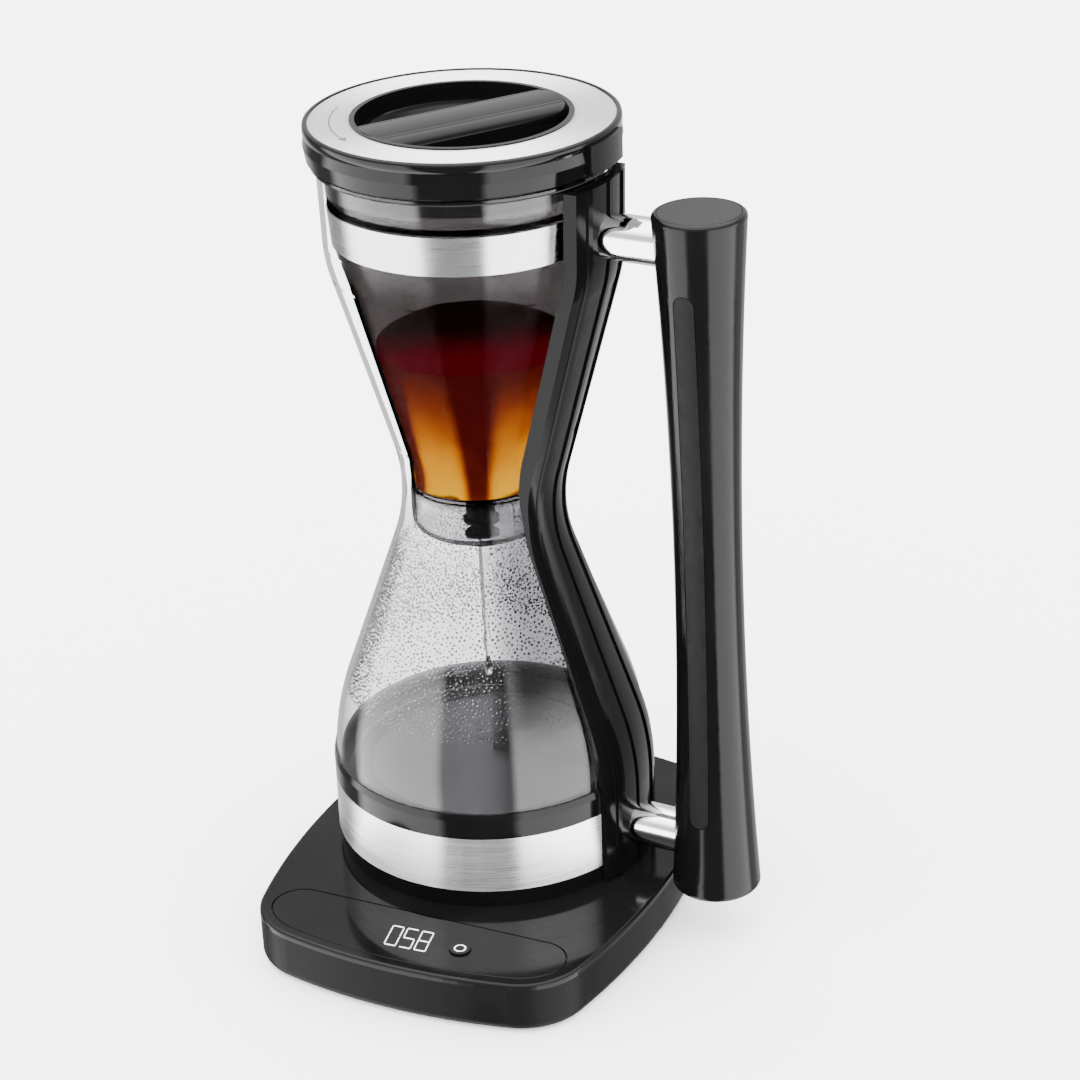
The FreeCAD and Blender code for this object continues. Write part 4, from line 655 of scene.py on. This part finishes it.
def make_deck():
    """The top plate with a groove round the control panel, and the panel in it."""
    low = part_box("base_top_plate")[0]
    seat, above, below = DECK - PANEL_DEPTH, DECK + MM, low.z - MM
    over_seat = seat + MM / 2
    edge = plan_of("base_top_plate")
    inner = shrink_plan(edge, DECK_ROUND)
    rings = [(grow_plan(inner, DECK_ROUND), low.z)]
    for step in range(DECK_ROUND_STEPS + 1):
        turn = step / DECK_ROUND_STEPS * math.pi / 2
        reach = max(DECK_ROUND * math.cos(turn), 1e-5)
        rings.append((grow_plan(inner, reach), DECK - DECK_ROUND * (1 - math.sin(turn))))
    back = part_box("control_panel")[1].y
    core = trim_plan(shrink_plan(edge, PANEL_MARGIN + PANEL_CORNER), Vector((0, 1)), back - PANEL_CORNER)
    pocket = grow_plan(core, PANEL_CORNER + PANEL_GROOVE)
    first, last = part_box("display_module")
    window = [Vector((first.x - CLEAR, first.y - CLEAR)), Vector((last.x + CLEAR, first.y - CLEAR)),
              Vector((last.x + CLEAR, last.y + CLEAR)), Vector((first.x - CLEAR, last.y + CLEAR))]
    cutters = [plate_mesh("pocket", [(pocket, seat), (pocket, above)]),
               plate_mesh("window", [(window, below), (window, over_seat)]),
               round_hole("start_button", below, over_seat, CLEAR),
               round_hole("suction_nozzle", below, above)]
    deck = cut_plate("deck_plate", plate_mesh("deck_plate", rings), cutters)
    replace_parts(piece("deck_plate", deck, "deck_black", "base"), "base_top_plate")
    wall, top = grow_plan(core, PANEL_CORNER), grow_plan(core, PANEL_CORNER - PANEL_BEVEL)
    panel = plate_mesh("panel_plate", [(wall, seat), (wall, DECK - PANEL_BEVEL), (top, DECK)])
    panel = cut_plate("panel_plate", panel, [round_hole("start_button", seat - MM, above, CLEAR)])
    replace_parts(piece("panel_plate", panel, "deck_black", "base"), "control_panel")


# radius and height over the steel disc, in millimetres
LID_RIM_EDGE = [(64.7, -0.8), (64.7, 0.35), (65.0, 0.6), (66.2, 0.6), (66.9, 0.15), (67.15, -0.8),
                (67.15, -3.4), (66.0, -3.8), (64.7, -0.8)]


def make_lid_rim():
    """The gloss rim that holds the steel disc in the lid."""
    outline = [(radius * MM, DISC_TOP + height * MM) for radius, height in LID_RIM_EDGE]
    piece("lid_rim", turned_mesh("lid_rim", outline, 160), "piano_black", "lid")


def make_foot_lining():
    """The steel that shows through the glass foot: a ring on the floor and a foil inside the collar."""
    disc, glass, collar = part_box("floor_disc"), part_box("glass_body"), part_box("glass_collar")
    inner, outer = (disc[1].x - disc[0].x) / 2, (glass[1].x - glass[0].x) / 2
    low = disc[1].z + 0.05 * MM
    ring = [(inner, low), (outer - 0.6 * MM, low), (outer - 0.6 * MM, low + 0.2 * MM),
            (inner, low + 0.2 * MM), (inner, low)]
    piece("floor_ring", turned_mesh("floor_ring", ring), "floor_steel", "carafe")
    near, far = outer + 0.03 * MM, outer + 0.07 * MM
    foot, head = collar[0].z + 0.1 * MM, collar[1].z - 0.3 * MM
    foil = [(near, foot), (far, foot), (far, head), (near, head), (near, foot)]
    piece("collar_foil", turned_mesh("collar_foil", foil), "band_steel", "carafe")


STREAM_RADIUS = 1.8 * MM


def make_stream():
    """The thin stream that falls from the drip valve."""
    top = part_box("drip_valve")[0].z - CLEAR
    levels = 40
    outline = [(0, BULB_FLOOR)]
    for step in range(levels + 1):
        share = step / levels
        swell = 1 + 0.35 * math.sin(share * 31) * (1 - share)
        radius = STREAM_RADIUS * swell * (0.7 + 0.5 * share)
        outline.append((radius, BULB_FLOOR + (top - BULB_FLOOR) * share))
    outline.append((0, top))
    piece("coffee_stream", turned_mesh("coffee_stream", outline, 20), "stream", "brewer")


# ------------------------------------------------------------------ Geometry Nodes pieces
class Growth(Tree):
    """A Geometry Nodes tree with named inputs, turned into a plain mesh."""

    def __init__(self, name):
        self.tree = bpy.data.node_groups.new(name, "GeometryNodeTree")
        self.tree.interface.new_socket("Geometry", in_out="INPUT", socket_type="NodeSocketGeometry")
        self.tree.interface.new_socket("Geometry", in_out="OUTPUT", socket_type="NodeSocketGeometry")
        self.values = {}

    def number(self, name, value, kind="NodeSocketFloat"):
        """A named input with its value."""
        socket = self.tree.interface.new_socket(name, in_out="INPUT", socket_type=kind)
        self.values[socket.identifier] = value

    def start(self):
        """The named inputs, as sockets to link from."""
        return self.tree.nodes.new("NodeGroupInput").outputs

    def finish(self, instances, finish):
        """Ends the tree in Realize Instances and Set Material."""
        real = self.add("GeometryNodeRealizeInstances", {"Geometry": instances})
        smooth = self.add("GeometryNodeSetShadeSmooth", {"Geometry": real.outputs["Geometry"]})
        painted = self.add("GeometryNodeSetMaterial", {"Geometry": smooth.outputs["Geometry"],
                                                       "Material": FINISHES[finish].material})
        leave = self.tree.nodes.new("NodeGroupOutput")
        self.tree.links.new(painted.outputs["Geometry"], leave.inputs["Geometry"])

    def grow(self, name, mesh, finish, body, slot):
        """Runs the tree on a mesh and keeps the result as a plain piece."""
        seed = bpy.data.objects.new(name + "_seed", mesh)
        bpy.context.scene.collection.objects.link(seed)
        modifier = seed.modifiers.new("growth", "NODES")
        modifier.node_group = self.tree
        for identifier, value in self.values.items():
            modifier[identifier] = value
        view = bpy.context.evaluated_depsgraph_get()
        plain = bpy.data.meshes.new_from_object(seed.evaluated_get(view))
        plain.name = name
        seed.modifiers.remove(modifier)
        bpy.data.objects.remove(seed)
        return piece(name, plain, finish, body)


def wall_strip(node, low, high, inset, steps=128, levels=24):
    """A strip of a vessel's inner wall between two heights, its faces towards the axis."""
    inner = wall_finder(node)
    work = bmesh.new()
    rings = []
    for level in range(levels + 1):
        height = low + (high - low) * level / levels
        rings.append(ring_of(work, inner(height) - inset, height, steps))
    for lower, upper in zip(rings, rings[1:]):
        for step in range(steps):
            after = (step + 1) % steps
            work.faces.new([lower[step], upper[step], upper[after], lower[after]])
    mesh = bpy.data.meshes.new(node + "_strip")
    work.to_mesh(mesh)
    work.free()
    return mesh


def make_drops():
    """Condensed drops on the inside of the bulb."""
    growth = Growth("drops_on_a_wall")
    growth.number("Drops per square metre", 900000.0)
    growth.number("Closest pitch", 1.5 * MM)
    growth.number("Smallest drop", 0.35 * MM)
    growth.number("Largest drop", 0.75 * MM)
    growth.number("Seed", 7, "NodeSocketInt")
    given = growth.start()
    points = growth.add("GeometryNodeDistributePointsOnFaces", {
        "Mesh": given["Geometry"], "Distance Min": given["Closest pitch"],
        "Density Max": given["Drops per square metre"], "Seed": given["Seed"]}, distribute_method="POISSON")
    ball = growth.add("GeometryNodeMeshIcoSphere", {"Radius": 1.0, "Subdivisions": 1})
    sizes = growth.add("FunctionNodeRandomValue", {
        2: given["Smallest drop"], 3: given["Largest drop"], "Seed": given["Seed"]})
    drops = growth.add("GeometryNodeInstanceOnPoints", {
        "Points": points.outputs["Points"], "Instance": ball.outputs["Mesh"],
        "Rotation": points.outputs["Rotation"], "Scale": sizes.outputs[1]})
    growth.finish(drops.outputs["Instances"], "drops")
    strip = wall_strip("glass_body", BULB_FLOOR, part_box("drip_valve")[0].z + 2 * MM, 0.25 * MM)
    growth.grow("condensed_drops", strip, "drops", "carafe", "glass")


# ------------------------------------------------------------------ printed marks
def slab(work, corners, low, high):
    """A thin upright prism on a flat outline."""
    under = [work.verts.new((x, y, low)) for x, y in corners]
    over = [work.verts.new((x, y, high)) for x, y in corners]
    work.faces.new(under[::-1])
    work.faces.new(over)
    for index in range(len(corners)):
        after = (index + 1) % len(corners)
        work.faces.new([under[index], under[after], over[after], over[index]])


INK = 0.04 * MM
SHOWN = "058"
SEGMENTS = {"0": "abcdef", "5": "afgcd", "8": "abcdefg"}


def make_digits():
    """Three plain seven segment digits, slanted, and lit through the panel."""
    left = AXIS + Vector((-2.9, -110.3, 0)) * MM
    right = AXIS + Vector((18.4, -109.2, 0)) * MM
    top = AXIS + Vector((-5.4, -96.1, 0)) * MM
    along = (right - left) / 3
    up = top - left
    width, line = 0.74, 0.12
    bars = {"a": (0, 1, width, 1), "d": (0, 0, width, 0), "g": (0, 0.5, width, 0.5),
            "f": (0, 0.5, 0, 1), "e": (0, 0, 0, 0.5), "b": (width, 0.5, width, 1),
            "c": (width, 0, width, 0.5)}
    work = bmesh.new()
    for place, digit in enumerate(SHOWN):
        for bar in SEGMENTS[digit]:
            x0, y0, x1, y1 = bars[bar]
            level = y0 == y1
            across, high = (0.02, line * 0.45) if level else (line * 0.6, 0.02)
            near = (x0 + across * (1 if level else -0.5) + place, y0 + (high if not level else -high / 2))
            far = (x1 - across * (1 if level else -0.5) + place, y1 - (high if not level else -high / 2))
            spots = [(near[0], near[1]), (far[0], near[1]), (far[0], far[1]), (near[0], far[1])]
            corners = [left + along * x + up * y for x, y in spots]
            slab(work, [(spot.x, spot.y) for spot in corners], DECK + INK / 4, DECK + INK)
    piece("display_digits", mesh_from("display_digits", work, False), "digit_white", "base")


def arc_slab(work, centre, radius, half, start, end, low, high, steps=48):
    """A thin band along an arc, closed at its ends, or a whole ring."""
    turns = [start + (end - start) * step / steps for step in range(steps + 1)]
    for first, last in zip(turns, turns[1:]):
        corners = [(centre.x + r * math.cos(turn), centre.y + r * math.sin(turn))
                   for r, turn in ((radius - half, first), (radius + half, first),
                                   (radius + half, last), (radius - half, last))]
        slab(work, corners, low, high)


def make_button_ring():
    """The pale ring on the start button."""
    low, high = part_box("start_button")
    centre = (low + high) / 2
    work = bmesh.new()
    arc_slab(work, centre, 2.4 * MM, 0.32 * MM, 0, 2 * math.pi, high.z + INK / 4, high.z + INK)
    ring = mesh_from("button_ring", work, False)
    piece("button_ring", ring, "digit_white", "start_button")


def make_turn_arrow():
    """The thin turning arrow on the lid's steel disc."""
    radius, half = 55.5 * MM, 0.35 * MM
    start, end = math.radians(190) + CARAFE_TURN, math.radians(236) + CARAFE_TURN
    low, high = DISC_TOP + INK / 4, DISC_TOP + INK
    work = bmesh.new()
    arc_slab(work, AXIS, radius, half, start, end, low, high)
    tip = end + math.radians(5)
    corners = [(AXIS.x + r * math.cos(turn), AXIS.y + r * math.sin(turn))
               for r, turn in ((radius - 2.2 * MM, end), (radius + 2.2 * MM, end), (radius, tip))]
    slab(work, corners, low, high)
    piece("turn_arrow", mesh_from("turn_arrow", work, False), "mark_grey", "lid")


# ------------------------------------------------------------------ studio
EYE = Vector((483.715, -1003.853, 727.004)) * MM
LOOK = Vector((-0.382997, 0.813651, -0.437362))
EYE_ROLL = -0.0388152
LENS = 94.46
SENSOR = 36.0


def make_camera():
    """The camera, at its place and rolled a little about its line of sight."""
    camera = bpy.data.cameras.new("camera")
    camera.lens = LENS
    camera.sensor_width = SENSOR
    camera.sensor_fit = "HORIZONTAL"
    camera.clip_end = 50
    item = bpy.data.objects.new("camera", camera)
    bpy.context.scene.collection.objects.link(item)
    right = LOOK.cross(Vector((0, 0, 1))).normalized()
    over = right.cross(LOOK).normalized()
    turned_right = right * math.cos(EYE_ROLL) + over * math.sin(EYE_ROLL)
    turned_over = over * math.cos(EYE_ROLL) - right * math.sin(EYE_ROLL)
    turn = Matrix((turned_right, turned_over, -LOOK)).transposed()
    item.matrix_world = Matrix.Translation(EYE) @ turn.to_4x4()
    bpy.context.scene.camera = item


def make_floor():
    """A pale floor under the whole view."""
    half = 6.0
    mesh = bpy.data.meshes.new("floor")
    corners = [(-half, -half, 0), (half, -half, 0), (half, half, 0), (-half, half, 0)]
    mesh.from_pydata(corners, [], [(0, 1, 2, 3)])
    floor = bpy.data.objects.new("floor", mesh)
    bpy.context.scene.collection.objects.link(floor)
    paper = Finish("pale_floor", (0.96, 0.96, 0.96), 0.9, Specular_IOR_Level=0.0)
    paper.tint(paper.noise(3, 2), (0.955, 0.955, 0.955), (0.965, 0.965, 0.965))
    mesh.materials.append(paper.material)
    floor.visible_glossy = False
    floor.visible_transmission = False


# soft boxes as (degrees round from the camera's side, brightness) on a card that stands all round
STUDIO_WALL = [(-180, 1.2), (-150, 1.0), (-136, 0.3), (-118, 0.4), (-108, 7.5), (-42, 7.5),
               (-35, 0.4), (13, 0.4), (19, 8.0), (88, 8.0), (98, 1.2), (180, 1.2)]
SKY_LOW, SKY_HIGH = 1.3, 7.5
WALL_MOST = 9.0
ROOM_LIGHT = 6.5


def make_world():
    """Pale light all round; shiny things see two tall soft boxes with a dark gap between them."""
    world = bpy.data.worlds.new("studio")
    bpy.context.scene.world = world
    world.use_nodes = True
    tree = world.node_tree
    nodes, link = tree.nodes, tree.links.new

    def calc(operation, first, second=0.0, third=0.0):
        """One sum of up to three values."""
        node = nodes.new("ShaderNodeMath")
        node.operation = operation
        for index, value in enumerate((first, second, third)):
            if isinstance(value, bpy.types.NodeSocket):
                link(value, node.inputs[index])
            else:
                node.inputs[index].default_value = value
        return node.outputs[0]

    def dot(direction):
        """How far the place lies along a direction."""
        node = nodes.new("ShaderNodeVectorMath")
        node.operation = "DOT_PRODUCT"
        link(place, node.inputs[0])
        node.inputs[1].default_value = direction
        return node.outputs["Value"]

    def ramp(value, stops):
        """Turns a value into greys at stops of (place, grey)."""
        node = nodes.new("ShaderNodeValToRGB")
        link(value, node.inputs["Fac"])
        elements = node.color_ramp.elements
        while len(elements) < len(stops):
            elements.new(0.5)
        for element, (spot, shade) in zip(elements, stops):
            element.position = spot
            element.color = (shade, shade, shade, 1)
        return node.outputs["Color"]

    place = nodes.new("ShaderNodeTexCoord").outputs["Generated"]
    to_eye = Vector((-LOOK.x, -LOOK.y, 0)).normalized()
    to_right = Vector((LOOK.y, -LOOK.x, 0)).normalized()
    turn = calc("ARCTAN2", dot(to_right), dot(to_eye))
    share = calc("MULTIPLY_ADD", turn, 1 / (2 * math.pi), 0.5)
    wall = ramp(share, [((angle + 180) / 360, light / WALL_MOST) for angle, light in STUDIO_WALL])
    height = dot((0, 0, 1))
    low, high = SKY_LOW / WALL_MOST, SKY_HIGH / WALL_MOST
    sky = ramp(height, [(0.0, low), (0.55, low), (0.85, high)])
    above = ramp(height, [(0.12, 0.0), (0.3, 1.0)])
    mirror = nodes.new("ShaderNodeMix")
    mirror.data_type = "RGBA"
    link(above, mirror.inputs["Factor"])
    link(wall, mirror.inputs["A"])
    link(sky, mirror.inputs["B"])
    seen = nodes.new("ShaderNodeBackground")
    link(mirror.outputs["Result"], seen.inputs["Color"])
    seen.inputs["Strength"].default_value = WALL_MOST
    plain = nodes.new("ShaderNodeBackground")
    plain.inputs["Color"].default_value = (1, 1, 1, 1)
    plain.inputs["Strength"].default_value = ROOM_LIGHT
    path = nodes.new("ShaderNodeLightPath")
    pick = nodes.new("ShaderNodeMixShader")
    link(calc("GREATER_THAN", path.outputs["Glossy Depth"], 0.5), pick.inputs["Fac"])
    link(plain.outputs["Background"], pick.inputs[1])
    link(seen.outputs["Background"], pick.inputs[2])
    link(pick.outputs["Shader"], nodes["World Output"].inputs["Surface"])


dress_nodes()
make_coffee()
make_dark_wall_line()
make_foot_lining()
make_deck()
make_lid_rim()
make_stream()
make_drops()
make_digits()
make_button_ring()
make_turn_arrow()
make_camera()
make_floor()
make_world()
